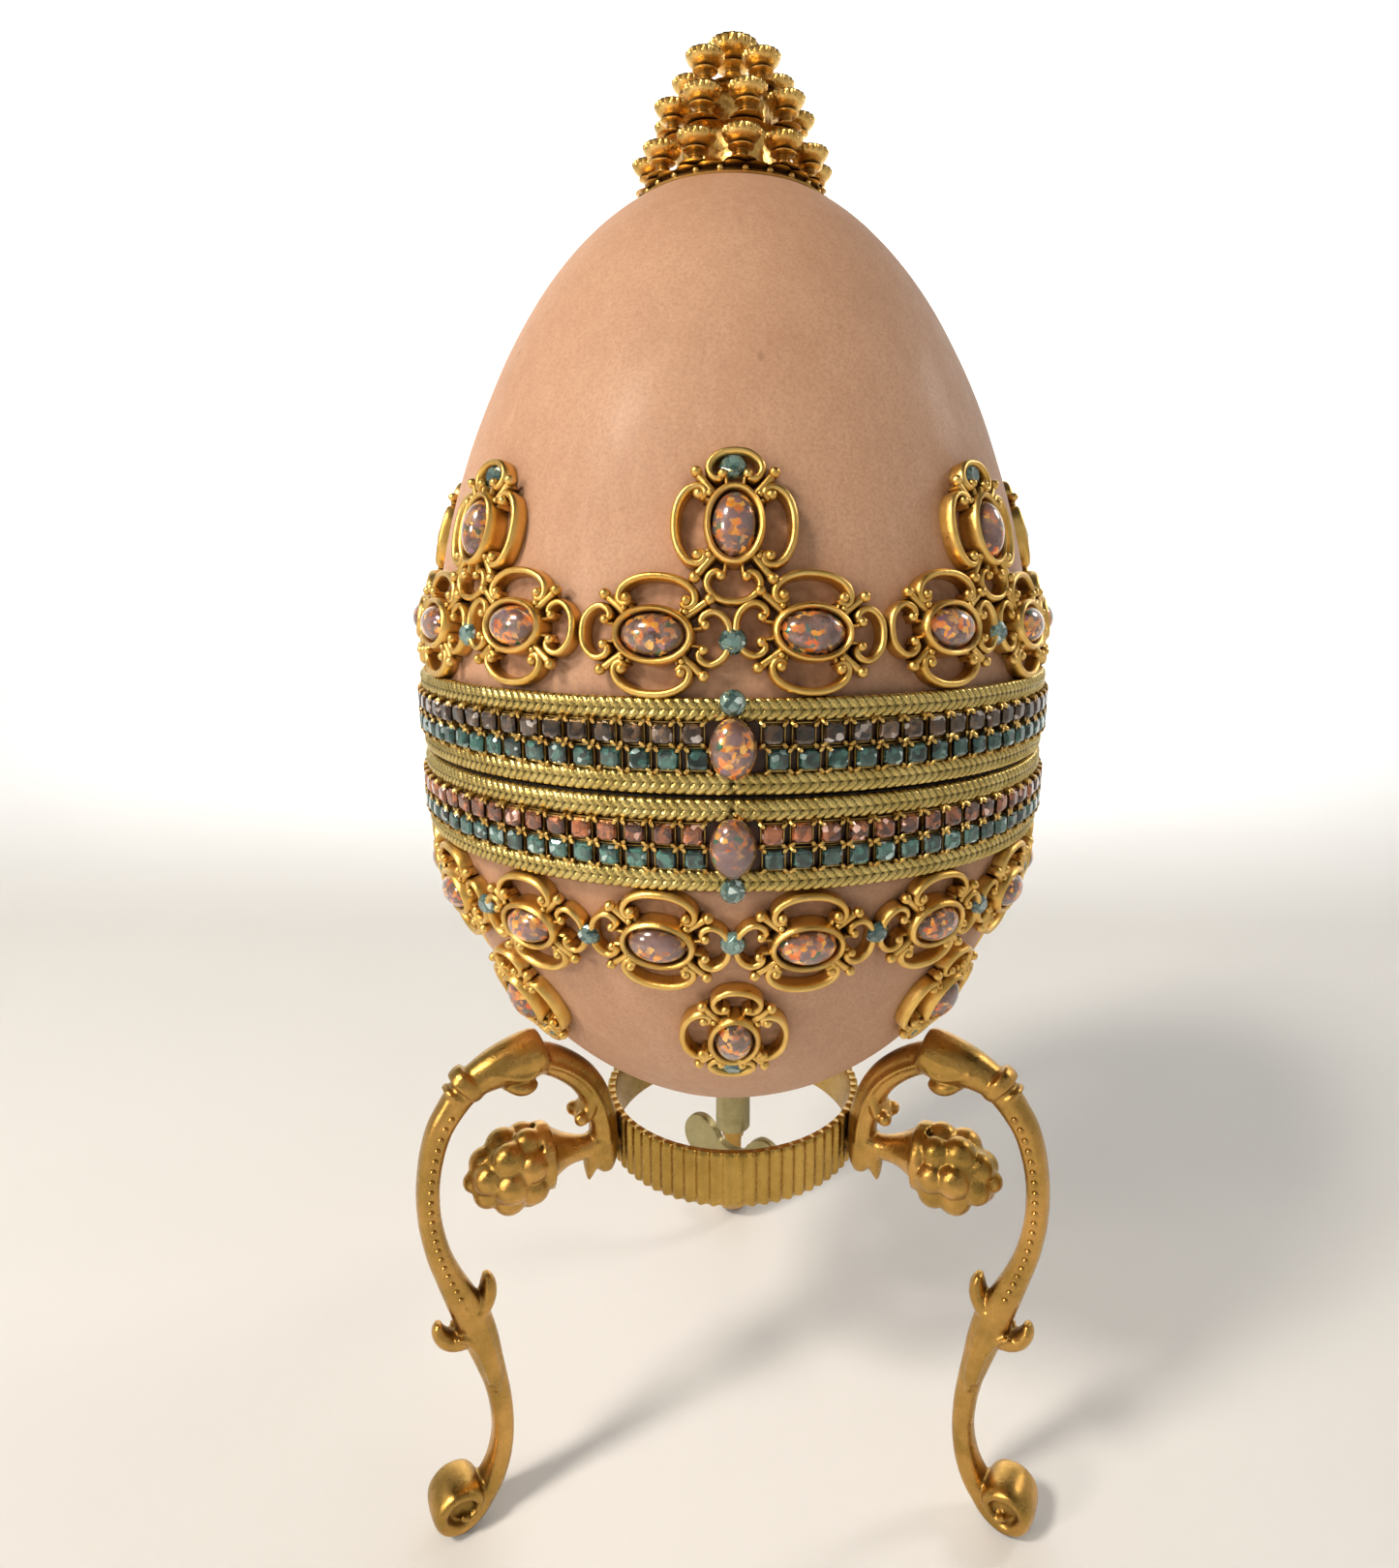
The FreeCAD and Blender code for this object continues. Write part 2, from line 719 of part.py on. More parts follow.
# Centre line of a leg in its own upright plane: reach from the axis, height, half thickness.
LEG_LINE = [
    (20.0, 48.6, 1.7), (20.1, 52.5, 1.9), (20.6, 57.0, 2.0), (22.9, 61.6, 2.2), (27.3, 65.9, 2.6),
    (31.5, 67.3, 2.6), (35.6, 65.8, 2.2), (39.4, 62.6, 1.9), (41.8, 58.9, 1.65), (43.2, 54.9, 1.5),
    (43.8, 50.8, 1.45), (43.7, 46.6, 1.5), (42.9, 42.2, 1.6), (41.6, 38.2, 1.8), (39.9, 33.9, 2.2),
    (38.3, 28.5, 2.0), (37.3, 22.5, 1.6), (36.6, 17.0, 1.5), (36.6, 12.0, 1.45), (37.4, 7.7, 1.5),
    (39.6, 3.9, 1.6),
]
SCROLL = (42.7, 3.7, 3.9)
BUD = (33.8, 51.2, 5.7)
BUD_STEM = ((21.2, 50.0, 1.4), (30.8, 53.4, 2.2))
LEAF_TIPS = (((40.6, 36.0, 1.4), (37.6, 36.6, 0.3)), ((39.6, 31.6, 1.5), (43.6, 30.4, 0.3)))
LEG_AZIMUTHS = (90, 210, 330)


def tapered(start, end):
    """A cone between two points of the leg's plane, with a round start."""
    first = Vector(start[0], 0, start[1])
    last = Vector(end[0], 0, end[1])
    axis = last - first
    solid = Part.makeCone(start[2], end[2], axis.Length, first, axis)
    return solid.fuse(Part.makeSphere(start[2], first))


def leg_shape():
    rings = []
    last = len(LEG_LINE) - 1
    for number, (reach, height, radius) in enumerate(LEG_LINE):
        before = LEG_LINE[max(number - 1, 0)]
        after = LEG_LINE[min(number + 1, last)]
        along = Vector(after[0] - before[0], 0, after[1] - before[1])
        ring = Part.Circle(Vector(reach, 0, height), along, radius)
        rings.append(Part.Wire([ring.toShape()]))
    stroke = Part.makeLoft(rings, True, False)
    thick = size("leg_thick")
    reach, height, radius = SCROLL
    scroll = Part.makeCylinder(radius, thick, Vector(reach, -thick / 2, height), Vector(0, 1, 0))
    scroll = scroll.makeFillet(thick / 5, [edge for edge in scroll.Edges if edge.Closed])
    reach, height, radius = BUD
    bud = Part.makeSphere(radius, Vector(reach, 0, height))
    pieces = [scroll, bud, tapered(*BUD_STEM)] + [tapered(*leaf_tip) for leaf_tip in LEAF_TIPS]
    leg = stroke.fuse(pieces)
    below_floor = Part.makeBox(100, 40, 20, Vector(0, -20, -20))
    ring_space = Part.makeCylinder(size("ring_outer"), 40, Vector(0, 0, size("ring_foot") - 10))
    return leg.cut(below_floor).cut(ring_space)


def make_legs():
    shape = leg_shape()
    for number, azimuth in enumerate(LEG_AZIMUTHS, start=1):
        leg = feature(f"stand_leg_{number}", shape.copy())
        leg.Placement = Placement(Vector(), Rotation(Vector(0, 0, 1), azimuth))
    inner = Vector(size("rivet_inner"), 0, size("rivet_height"))
    rivet = Part.makeCylinder(size("rivet_radius"), size("rivet_length"), inner, Vector(1, 0, 0))
    feature("leg_rivets", spin_copies(rivet, LEG_AZIMUTHS))


def origin_plane(body, role):
    return next(item for item in body.Origin.OriginFeatures if item.Role == role)


def new_sketch(body, name, role="XY_Plane"):
    sketch = body.newObject("Sketcher::SketchObject", name)
    sketch.AttachmentSupport = [(origin_plane(body, role), "")]
    sketch.MapMode = "FlatFace"
    return sketch


def add_circle(sketch, radius, reach=None):
    """A circle on the sketch's X axis, with its radius and reach tied to the sheet."""
    start = size(reach) if reach else 0.0
    number = sketch.addGeometry(Part.Circle(Vector(start, 0, 0), Vector(0, 0, 1), size(radius)))
    if reach:
        sketch.addConstraint(Sketcher.Constraint("PointOnObject", number, 3, -1))
        far = sketch.addConstraint(Sketcher.Constraint("DistanceX", -1, 1, number, 3, start))
        sketch.setExpression(f"Constraints[{far}]", cell(reach))
    else:
        sketch.addConstraint(Sketcher.Constraint("Coincident", number, 3, -1, 1))
    wide = sketch.addConstraint(Sketcher.Constraint("Radius", number, size(radius)))
    sketch.setExpression(f"Constraints[{wide}]", cell(radius))


def add_rectangle(sketch, left, low, right, high):
    corners = [Vector(left, low, 0), Vector(right, low, 0), Vector(right, high, 0), Vector(left, high, 0)]
    first = sketch.GeometryCount
    for number in range(4):
        sketch.addGeometry(Part.LineSegment(corners[number], corners[(number + 1) % 4]))
    for number in range(4):
        after = (number + 1) % 4
        sketch.addConstraint(Sketcher.Constraint("Coincident", first + number, 2, first + after, 1))
        kind = "Horizontal" if number % 2 == 0 else "Vertical"
        sketch.addConstraint(Sketcher.Constraint(kind, first + number))
    return first


def pad(body, name, sketch, length, midplane=False):
    item = body.newObject("PartDesign::Pad", name)
    item.Profile = sketch
    if midplane:
        item.SideType = "Symmetric"
    item.setExpression("Length", cell(length))
    return item


def pocket_up(body, name, sketch, length):
    """A pocket that cuts upwards from its sketch."""
    item = body.newObject("PartDesign::Pocket", name)
    item.Profile = sketch
    item.Reversed = True
    item.setExpression("Length", cell(length))
    return item


def make_ring():
    body = doc.addObject("PartDesign::Body", "stand_ring")
    wall = new_sketch(body, "ring_section")
    add_circle(wall, "ring_outer")
    inner = wall.addGeometry(Part.Circle(Vector(), Vector(0, 0, 1), size("ring_outer") - size("ring_wall")))
    wall.addConstraint(Sketcher.Constraint("Coincident", inner, 3, -1, 1))
    wide = wall.addConstraint(Sketcher.Constraint("Radius", inner, size("ring_outer") - size("ring_wall")))
    wall.setExpression(f"Constraints[{wide}]", cell("ring_outer - ring_wall"))
    pad(body, "ring_wall_pad", wall, "ring_height")
    flute = new_sketch(body, "flute_section")
    add_circle(flute, "flute_radius", "flute_reach")
    groove = pocket_up(body, "flute", flute, "ring_height")
    doc.recompute()
    pattern = body.newObject("PartDesign::PolarPattern", "flutes")
    pattern.Originals = [groove]
    pattern.Axis = (flute, ["N_Axis"])
    pattern.Angle = 360
    pattern.setExpression("Occurrences", cell("flute_count"))
    body.Tip = pattern
    place(body, z="ring_foot")
    node(body)


# ---------------------------------------------------------------- the musical movement

def make_bedplate():
    body = doc.addObject("PartDesign::Body", "movement_bedplate")
    outline = new_sketch(body, "plate_outline")
    half = size("plate_depth") / 2
    first = add_rectangle(outline, size("plate_left"), -half, size("plate_right"), half)
    sides = (("DistanceX", 0, "plate_right"), ("DistanceX", 2, "plate_left"),
             ("DistanceY", 1, "plate_depth / 2"), ("DistanceY", 3, "plate_depth * -0.5"))
    starts = (size("plate_right"), size("plate_left"), half, -half)
    for (kind, edge, expression), value in zip(sides, starts):
        number = outline.addConstraint(Sketcher.Constraint(kind, -1, 1, first + edge, 2, value))
        outline.setExpression(f"Constraints[{number}]", cell(expression))
    pad(body, "plate_pad", outline, "plate_thick")
    hole = new_sketch(body, "arbor_hole")
    add_circle(hole, "arbor_bore")
    pocket_up(body, "arbor_pocket", hole, "plate_thick")
    place(body, z="seam_height - board_drop + board_thick")
    node(body)


def toothed(radius, teeth, depth, thick):
    """A disc with square teeth: half of each pitch is cut away."""
    disc = Part.makeCylinder(radius, thick)
    width = math.pi * radius / teeth
    slots = []
    for number in range(int(teeth)):
        slot = Part.makeBox(depth * 2, width, thick, Vector(radius - depth, -width / 2, 0))
        slot.rotate(Vector(), Vector(0, 0, 1), 360.0 * number / teeth)
        slots.append(slot)
    return disc.cut(slots)


def movement_levels():
    plate_top = SEAM - size("board_drop") + size("board_thick") + size("plate_thick")
    axle = SEAM - size("axle_drop")
    return plate_top, axle


def make_wheel_train():
    """The crown-toothed great wheel on the arbor, and the spring housing held over it by a strap."""
    plate_top, axle = movement_levels()
    tooth = size("wheel_tooth")
    gap = size("housing_gap")
    overlap = 0.1
    rim_top = axle - size("pinion_radius") - overlap
    wheel_thick = size("wheel_thick")
    wheel_low = rim_top - tooth - wheel_thick
    wheel = Part.makeCylinder(size("wheel_radius"), wheel_thick, Vector(0, 0, wheel_low))
    rim_inner = size("housing_radius") + gap
    rim_wide = size("wheel_radius") - rim_inner
    rim = toothed(size("wheel_radius"), size("wheel_teeth"), rim_wide + overlap, tooth)
    rim = rim.cut(Part.makeCylinder(rim_inner, tooth))
    rim.translate(Vector(0, 0, rim_top - tooth))
    bore = Part.makeCylinder(size("arbor_radius"), wheel_thick + 2, Vector(0, 0, wheel_low - 1))
    feature("great_wheel", wheel.fuse(rim.Solids).cut(bore))
    housing_low = rim_top - tooth + gap
    tall = size("housing_height")
    housing = Part.makeCylinder(size("housing_radius"), tall, Vector(0, 0, housing_low))
    bore = Part.makeCylinder(size("arbor_bore"), tall - size("housing_cap"), Vector(0, 0, housing_low))
    reach = size("strap_reach")
    width = size("strap_width")
    top = housing_low + tall
    strap_corner = Vector(-reach, -width / 2, top - size("strap_thick"))
    strap = Part.makeBox(reach, width, size("strap_thick"), strap_corner)
    post = Part.makeBox(size("strap_post"), width, top - plate_top, Vector(-reach, -width / 2, plate_top))
    feature("spring_housing", housing.fuse([strap, post]).cut(bore))


def along_axle(shape, start):
    _, axle = movement_levels()
    moved = shape.copy()
    moved.Placement = Placement(Vector(start, 0, axle), ALONG_X)
    return moved


def make_drum():
    """The pinned drum on its axle, with the pinion at one end and the spur at the other."""
    pinion_start = size("housing_radius") + size("housing_gap")
    axle_length = size("axle_end") - pinion_start
    drum_radius = size("drum_radius")
    drum = Part.makeCylinder(drum_radius, size("drum_length"))
    root = size("pin_root")
    pin_start = Vector(drum_radius - root, 0, 0)
    pin = Part.makeCylinder(size("pin_radius"), size("pin_tall") + root, pin_start, Vector(1, 0, 0))
    pins = []
    teeth = int(size("comb_teeth"))
    pitch = size("drum_length") / teeth
    for number in range(teeth):
        for turn in (0, 130, 235):
            copy = pin.copy()
            copy.translate(Vector(0, 0, pitch * (number + 0.5)))
            copy.rotate(Vector(), Vector(0, 0, 1), turn + 37 * number)
            pins.append(copy)
    drum = along_axle(drum.fuse(pins), size("drum_start"))
    spindle = along_axle(Part.makeCylinder(size("axle_radius"), axle_length), pinion_start)
    feature("drum_axle", spindle)
    feature("pin_drum", drum.cut(spindle))
    pinion_radius = size("pinion_radius")
    pinion = toothed(pinion_radius, size("pinion_teeth"), size("pinion_tooth"), size("pinion_length"))
    feature("drum_pinion", along_axle(pinion, pinion_start).cut(spindle))
    spur = toothed(size("spur_radius"), size("spur_teeth"), size("spur_tooth"), size("spur_thick"))
    feature("drum_spur", along_axle(spur, size("spur_start")).cut(spindle))


def worm_line():
    """Where the upright worm stands beside the spur."""
    return size("spur_start") + size("spur_thick") / 2, size("worm_side")


def make_bearings():
    """Two posts that carry the axle, and the bracket that carries the governor."""
    plate_top, axle = movement_levels()
    thick = size("bearing_thick")
    width = size("bearing_width")
    tall = axle - plate_top + width / 2
    posts = []
    for start in (size("bearing_near"), size("bearing_far")):
        post = Part.makeBox(thick, width, tall, Vector(start, -width / 2, plate_top))
        posts.append(post.cut(along_axle(Part.makeCylinder(size("axle_bore"), thick + 2), start - 1)))
    feature("drum_bearings", Part.makeCompound(posts))
    worm_x, side = worm_line()
    width = size("bracket_width")
    length = size("bracket_arm_length")
    arm = size("bracket_arm")
    tall = size("bracket_height")
    left = worm_x - width / 2
    near = side + length - size("bracket_nose")
    post = Part.makeBox(width, size("bracket_thick"), tall, Vector(left, near, plate_top))
    low_arm = Part.makeBox(width, length, arm, Vector(left, near - length, plate_top))
    high_arm = low_arm.translated(Vector(0, 0, tall - arm))
    bore = Part.makeCylinder(size("bracket_bore"), tall + 1, Vector(worm_x, side, plate_top - 0.5))
    feature("governor_bracket", post.fuse([low_arm, high_arm]).cut(bore))


def make_governor():
    """The worm, shown as a grooved spindle, and the two-winged fan on its top end."""
    plate_top, _ = movement_levels()
    worm_x, side = worm_line()
    foot = Vector(worm_x, side, plate_top)
    worm_radius = size("worm_radius")
    spindle_start = foot + Vector(0, 0, size("spindle_lift"))
    spindle = Part.makeCylinder(size("spindle_radius"), size("spindle_length"), spindle_start)
    thread = Part.makeCylinder(worm_radius, size("worm_length"), foot + Vector(0, 0, size("worm_lift")))
    width = size("worm_groove_width")
    grooves = []
    for number in range(int(size("worm_groove_count"))):
        lift = size("worm_groove_lift") + size("worm_groove_pitch") * number
        level = foot + Vector(0, 0, lift)
        ring = Part.makeCylinder(worm_radius + 0.1, width, level)
        root = Part.makeCylinder(worm_radius - size("worm_groove_depth"), width, level)
        grooves.append(ring.cut(root))
    feature("governor_worm", spindle.fuse(thread.cut(grooves)))
    reach = size("fan_reach")
    thick = size("fan_thick")
    corner = foot + Vector(-reach, -thick / 2, size("fan_lift"))
    wings = Part.makeBox(2 * reach, thick, size("fan_height"), corner)
    feature("governor_fan", wings.cut(spindle))


def make_comb():
    """Tuned teeth on a block beside the drum, held by two screws."""
    plate_top, axle = movement_levels()
    start = size("drum_start")
    length = size("drum_length")
    teeth = int(size("comb_teeth"))
    tip = -(size("drum_radius") + size("comb_gap"))
    back = -size("comb_back")
    thick = size("comb_thick")
    low = axle - thick / 2
    comb = Part.makeBox(length, tip - back, thick, Vector(start, back, low))
    pitch = length / teeth
    slit = size("comb_slit")
    slit_length = size("comb_slit_length")
    slits = []
    for number in range(1, teeth):
        corner = Vector(start + pitch * number - slit / 2, tip - slit_length, low)
        slits.append(Part.makeBox(slit, slit_length, thick, corner))
    block = Part.makeBox(length, size("comb_block_depth"), low - plate_top, Vector(start, back, plate_top))
    depth = size("screw_depth")
    holes = []
    screws = []
    for share in (0.2, 0.8):
        centre = Vector(start + length * share, back + size("screw_inset"), low - depth)
        holes.append(Part.makeCylinder(size("screw_bore"), depth + thick + 1, centre))
        shank = Part.makeCylinder(size("screw_radius"), depth + thick, centre)
        under_head = centre + Vector(0, 0, depth + thick)
        head = Part.makeCylinder(size("screw_head_radius"), size("screw_head_height"), under_head)
        screws.append(shank.fuse(head))
    feature("comb", comb.cut(slits + holes))
    feature("comb_block", block.cut(holes))
    feature("comb_screws", Part.makeCompound(screws))


# ---------------------------------------------------------------- the winding key

def make_key():
    """Arbor and hub in one piece, with the wings on the hub and a bushing in the shell."""
    hub = cylinder("key_hub", "hub_radius", "wing_top_drop - hub_top_drop + wing_socket",
                   z="seam_height - wing_top_drop - wing_socket")
    arbor_height = "hub_top_drop - board_drop + board_thick + arbor_above_board + arbor_overlap"
    arbor = cylinder("key_arbor", "arbor_radius", arbor_height,
                     z="seam_height - hub_top_drop - arbor_overlap")
    node(fuse("key_stem", hub, arbor))
    body = doc.addObject("PartDesign::Body", "key_wings")
    blade = new_sketch(body, "wing_outline", "XZ_Plane")
    reach = size("wing_reach")
    tall = size("wing_height")
    first = add_rectangle(blade, -reach, -tall, reach, 0)
    sides = (("DistanceX", 0, "wing_reach"), ("DistanceX", 2, "wing_reach * -1"),
             ("DistanceY", 3, "wing_height * -1"))
    for (kind, edge, expression), value in zip(sides, (reach, -reach, -tall)):
        number = blade.addConstraint(Sketcher.Constraint(kind, -1, 1, first + edge, 2, value))
        blade.setExpression(f"Constraints[{number}]", cell(expression))
    blade.addConstraint(Sketcher.Constraint("PointOnObject", first + 1, 2, -1))
    pad(body, "wing_pad", blade, "wing_thick", midplane=True)
    doc.recompute()
    slab = body.Tip
    through = [f"Edge{number}" for number, edge in enumerate(slab.Shape.Edges, start=1)
               if abs(edge.Vertexes[0].Y - edge.Vertexes[1].Y) > size("wing_thick") / 2]
    corners = body.newObject("PartDesign::Fillet", "wing_corners")
    corners.Base = (slab, through)
    corners.setExpression("Radius", cell("wing_corner"))
    body.Tip = corners
    socket_sketch = new_sketch(body, "hub_socket_circle")
    add_circle(socket_sketch, "hub_radius")
    socket = body.newObject("PartDesign::Pocket", "hub_socket")
    socket.Profile = socket_sketch
    socket.setExpression("Length", cell("wing_socket"))
    body.Tip = socket
    body.Placement = Placement(Vector(), Rotation(Vector(0, 0, 1), -size("wing_turn")))
    place(body, z="seam_height - wing_top_drop")
    node(body)


def make_bushing():
    """A flanged tube in the shell's bottom hole that the key's hub turns in."""
    low = "seam_height - egg_drop - bushing_flange_thick - bushing_gap"
    flange = cylinder("flange_disc", "hub_radius + bushing_flange", "bushing_flange_thick", z=low)
    tube = cylinder("bushing_tube", "bottom_hole - bushing_gap", "bushing_length", z=low)
    bore = cylinder("bushing_bore", "hub_bore", "bushing_length + 2", z=low + " - 1")
    node(cut("key_bushing", fuse("bushing_blank", flange, tube), bore))


def check_and_write():
    """Stop on any failed object or bad shape, and then write one file for each sub-part."""
    doc.recompute()
    for item in doc.Objects:
        if "Invalid" in item.State or "Error" in item.State:
            raise RuntimeError(f"{item.Label} failed: {item.State}")
    labels = [item.Label for item in NODES]
    if len(set(labels)) != len(labels):
        raise RuntimeError("two sub-parts share a label")
    for item in NODES:
        if item.Shape.isNull() or not item.Shape.isValid() or not item.Shape.Solids:
            raise RuntimeError(f"{item.Label} has no valid solid")
    os.makedirs("parts", exist_ok=True)
    for item in NODES:
        item.Shape.exportStep(f"parts/{item.Label}.step")
        print(f"{item.Label}: {len(item.Shape.Solids)} solids, {item.Shape.Volume:.1f} mm3")


make_shells()
make_linings()
make_discs()
make_braids()
make_chains()
make_medallions()
make_clasp()
make_hinge()
make_finial()
make_ring()
make_legs()
make_bedplate()
make_wheel_train()
make_drum()
make_bearings()
make_governor()
make_comb()
make_key()
make_bushing()
check_and_write()
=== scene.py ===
"""The finished look of a jewelled eggshell box on a three-legged gilt stand.

Sizes are in millimetres and turned into metres when a mesh is made. Around the egg, an azimuth of
0 faces the clasp (-Y) and grows towards +X. A "rise" is a height above the seam between the halves.
"""

import math

import bpy
import numpy as np
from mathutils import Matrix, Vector, noise


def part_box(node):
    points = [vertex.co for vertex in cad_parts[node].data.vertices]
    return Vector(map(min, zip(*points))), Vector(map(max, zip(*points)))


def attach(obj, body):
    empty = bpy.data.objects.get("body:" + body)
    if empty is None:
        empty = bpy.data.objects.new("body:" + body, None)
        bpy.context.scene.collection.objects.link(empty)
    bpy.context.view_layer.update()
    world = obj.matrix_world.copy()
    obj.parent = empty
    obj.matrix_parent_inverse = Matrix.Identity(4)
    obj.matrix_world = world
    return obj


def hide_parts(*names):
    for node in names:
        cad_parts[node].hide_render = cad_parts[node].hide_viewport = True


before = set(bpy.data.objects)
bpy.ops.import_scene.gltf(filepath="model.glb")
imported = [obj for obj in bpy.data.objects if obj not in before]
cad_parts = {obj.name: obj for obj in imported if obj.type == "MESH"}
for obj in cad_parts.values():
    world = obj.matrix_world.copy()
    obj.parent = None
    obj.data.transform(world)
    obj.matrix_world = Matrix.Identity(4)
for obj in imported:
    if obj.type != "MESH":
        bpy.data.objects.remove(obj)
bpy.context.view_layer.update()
MM = 0.001
random = np.random.default_rng(11)


def low(node):
    return np.array(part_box(node)[0]) / MM


def high(node):
    return np.array(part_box(node)[1]) / MM


SEAM = (low("lid_shell")[2] + high("base_shell")[2]) / 2


def placed(name, data):
    """A new object for this data, in the scene."""
    item = bpy.data.objects.new(name, data)
    bpy.context.scene.collection.objects.link(item)
    return item


def evaluated(item):
    """The item as its modifiers leave it."""
    return item.evaluated_get(bpy.context.evaluated_depsgraph_get())


def coordinates(mesh):
    found = np.zeros(len(mesh.vertices) * 3, np.float32)
    mesh.vertices.foreach_get("co", found)
    return found.reshape(-1, 3)


def at_azimuth(angle, reach, height):
    """Points round the egg's axis, an angle of 0 at the front."""
    height = np.broadcast_to(height, len(angle))
    return np.column_stack([reach * np.sin(angle), -reach * np.cos(angle), height])


def circle(angle, reach, height):
    """Points round +Z, an angle of 0 on +X. The reach and the height may differ at each angle."""
    height = np.broadcast_to(height, len(angle))
    return np.column_stack([reach * np.cos(angle), reach * np.sin(angle), height])


# ---------------------------------------------------------------- the egg's outline

EGG_RADIUS = 37.86
EGG_MIDDLE = 7.75
EGG_HALF = 57.25
WALL = 1.6


def egg_radius(rise, inset=0.0):
    t = np.clip((rise - EGG_MIDDLE) / (EGG_HALF - inset), -1, 1)
    return (EGG_RADIUS - inset) * np.sqrt(1 - t * t) * (1 - 0.146 * t + 0.018 * t**2 + 0.054 * t**3)


def outline(low_rise, high_rise, inset, count):
    """(radius, rise) points along the shell, closer together where it curves in to a tip."""
    half = EGG_HALF - inset
    first = math.asin(np.clip((low_rise - EGG_MIDDLE) / half, -1, 1))
    last = math.asin(np.clip((high_rise - EGG_MIDDLE) / half, -1, 1))
    rise = EGG_MIDDLE + half * np.sin(np.linspace(first, last, count))
    return np.column_stack([egg_radius(rise, inset), rise])


RISES = EGG_MIDDLE + EGG_HALF * np.sin(np.linspace(-math.pi / 2, math.pi / 2, 2000))
LENGTHS = np.concatenate([[0], np.cumsum(np.hypot(np.diff(egg_radius(RISES)), np.diff(RISES)))])


def on_egg(points, azimuth, rise, turn=0.0, lift=0.0):
    """Bend a flat piece (across, up, out) onto the shell, its middle at this azimuth and rise."""
    c, s = math.cos(turn), math.sin(turn)
    across = points[:, 0] * c - points[:, 1] * s
    up = points[:, 0] * s + points[:, 1] * c
    out = points[:, 2] + lift
    rises = np.interp(np.interp(rise, RISES, LENGTHS) + up, LENGTHS, RISES)
    step = 0.05
    slope = (egg_radius(rises + step) - egg_radius(rises - step)) / (2 * step)
    steep = np.sqrt(1 + slope**2)
    radius = egg_radius(rises)
    angle = azimuth + across / radius
    reach = radius + out / steep
    return at_azimuth(angle, reach, SEAM + rises - out * slope / steep)


def on_band(points, azimuth, rise, radius):
    """Bend a flat piece (across, up, out) onto a cylinder beside the seam."""
    angle = azimuth + points[:, 0] / radius
    reach = radius + points[:, 2]
    return at_azimuth(angle, reach, SEAM + rise + points[:, 1])


# ---------------------------------------------------------------- meshes from numbers

def grid(rows, columns, wrap_rows=False, wrap_columns=False):
    """Quads between the points of a grid that is stored row by row."""
    r = np.arange(rows if wrap_rows else rows - 1)
    c = np.arange(columns if wrap_columns else columns - 1)
    r, c = (a.ravel() for a in np.meshgrid(r, c, indexing="ij"))
    r2, c2 = (r + 1) % rows, (c + 1) % columns
    return np.column_stack([r * columns + c, r * columns + c2, r2 * columns + c2, r2 * columns + c])


def end_faces(rows, columns):
    """The faces that close the two ends of a tube whose rows go round it."""
    ring = np.arange(columns)
    return [ring[None, ::-1], (rows - 1) * columns + ring[None]]


class Shape:
    """Points and faces that are added up and end as one mesh object."""

    def __init__(self):
        self.points = []
        self.faces = []
        self.tones = []
        self.total = 0

    def add(self, points, *faces, tone=0.0):
        points = np.asarray(points, float).reshape(-1, 3)
        self.points.append(points)
        self.tones.append(np.broadcast_to(np.asarray(tone, float), len(points)))
        self.faces.extend(np.asarray(f) + self.total for f in faces)
        self.total += len(points)
        return self

    def all_points(self):
        return np.concatenate(self.points)

    def copy_to(self, other, points, tone=None):
        """Add this shape's faces to another shape, on moved points."""
        return other.add(points, *self.faces, tone=np.concatenate(self.tones) if tone is None else tone)

    def made(self, name, finish, body, *nodes, smooth=30, slot=None):
        points = (self.all_points() * MM).astype(np.float32)
        corners = np.concatenate([f.ravel() for f in self.faces]).astype(np.int32)
        sizes = np.concatenate([np.full(len(f), f.shape[1]) for f in self.faces])
        starts = np.concatenate([[0], np.cumsum(sizes)[:-1]]).astype(np.int32)
        mesh = bpy.data.meshes.new(name)
        mesh.vertices.add(len(points))
        mesh.vertices.foreach_set("co", points.ravel())
        mesh.loops.add(len(corners))
        mesh.loops.foreach_set("vertex_index", corners)
        mesh.polygons.add(len(starts))
        mesh.polygons.foreach_set("loop_start", starts)
        mesh.update(calc_edges=True)
        tone = mesh.attributes.new("tone", "FLOAT", "POINT")
        tone.data.foreach_set("value", np.concatenate(self.tones).astype(np.float32))
        mesh.polygons.foreach_set("use_smooth", np.full(len(starts), smooth > 0))
        mesh.validate()
        if smooth:
            mesh.set_sharp_from_angle(angle=math.radians(smooth))
        return finish_piece(name, mesh, finish, body, nodes)


def finish_piece(name, mesh, finish, body, nodes):
    piece = placed(name, mesh)
    mesh.materials.clear()
    mesh.materials.append(finish)
    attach(piece, body)
    if nodes:
        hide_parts(*nodes)
    return piece


def smooth_line(points, per_span=6, closed=False):
    """A Catmull-Rom line through the points, of any number of dimensions."""
    p = np.asarray(points, float)
    if closed:
        p = np.vstack([p[-1:], p, p[:2]])
    else:
        p = np.vstack([2 * p[0] - p[1], p, 2 * p[-1] - p[-2]])
    t = np.linspace(0, 1, per_span, endpoint=False)[:, None]
    spans = []
    for a, b, c, d in zip(p[:-3], p[1:-2], p[2:-1], p[3:]):
        bend = (2 * a - 5 * b + 4 * c - d) * t**2
        spans.append(0.5 * (2 * b + (c - a) * t + bend + (3 * b - a - 3 * c + d) * t**3))
    line = np.vstack(spans)
    return line if closed else np.vstack([line, p[-2]])


def mirrored(half):
    """A line whose last point is on the mirror, and its mirror image, as one line."""
    half = np.asarray(half, float)
    other = half[-2::-1] * (-1, 1)
    return np.vstack([half, other])


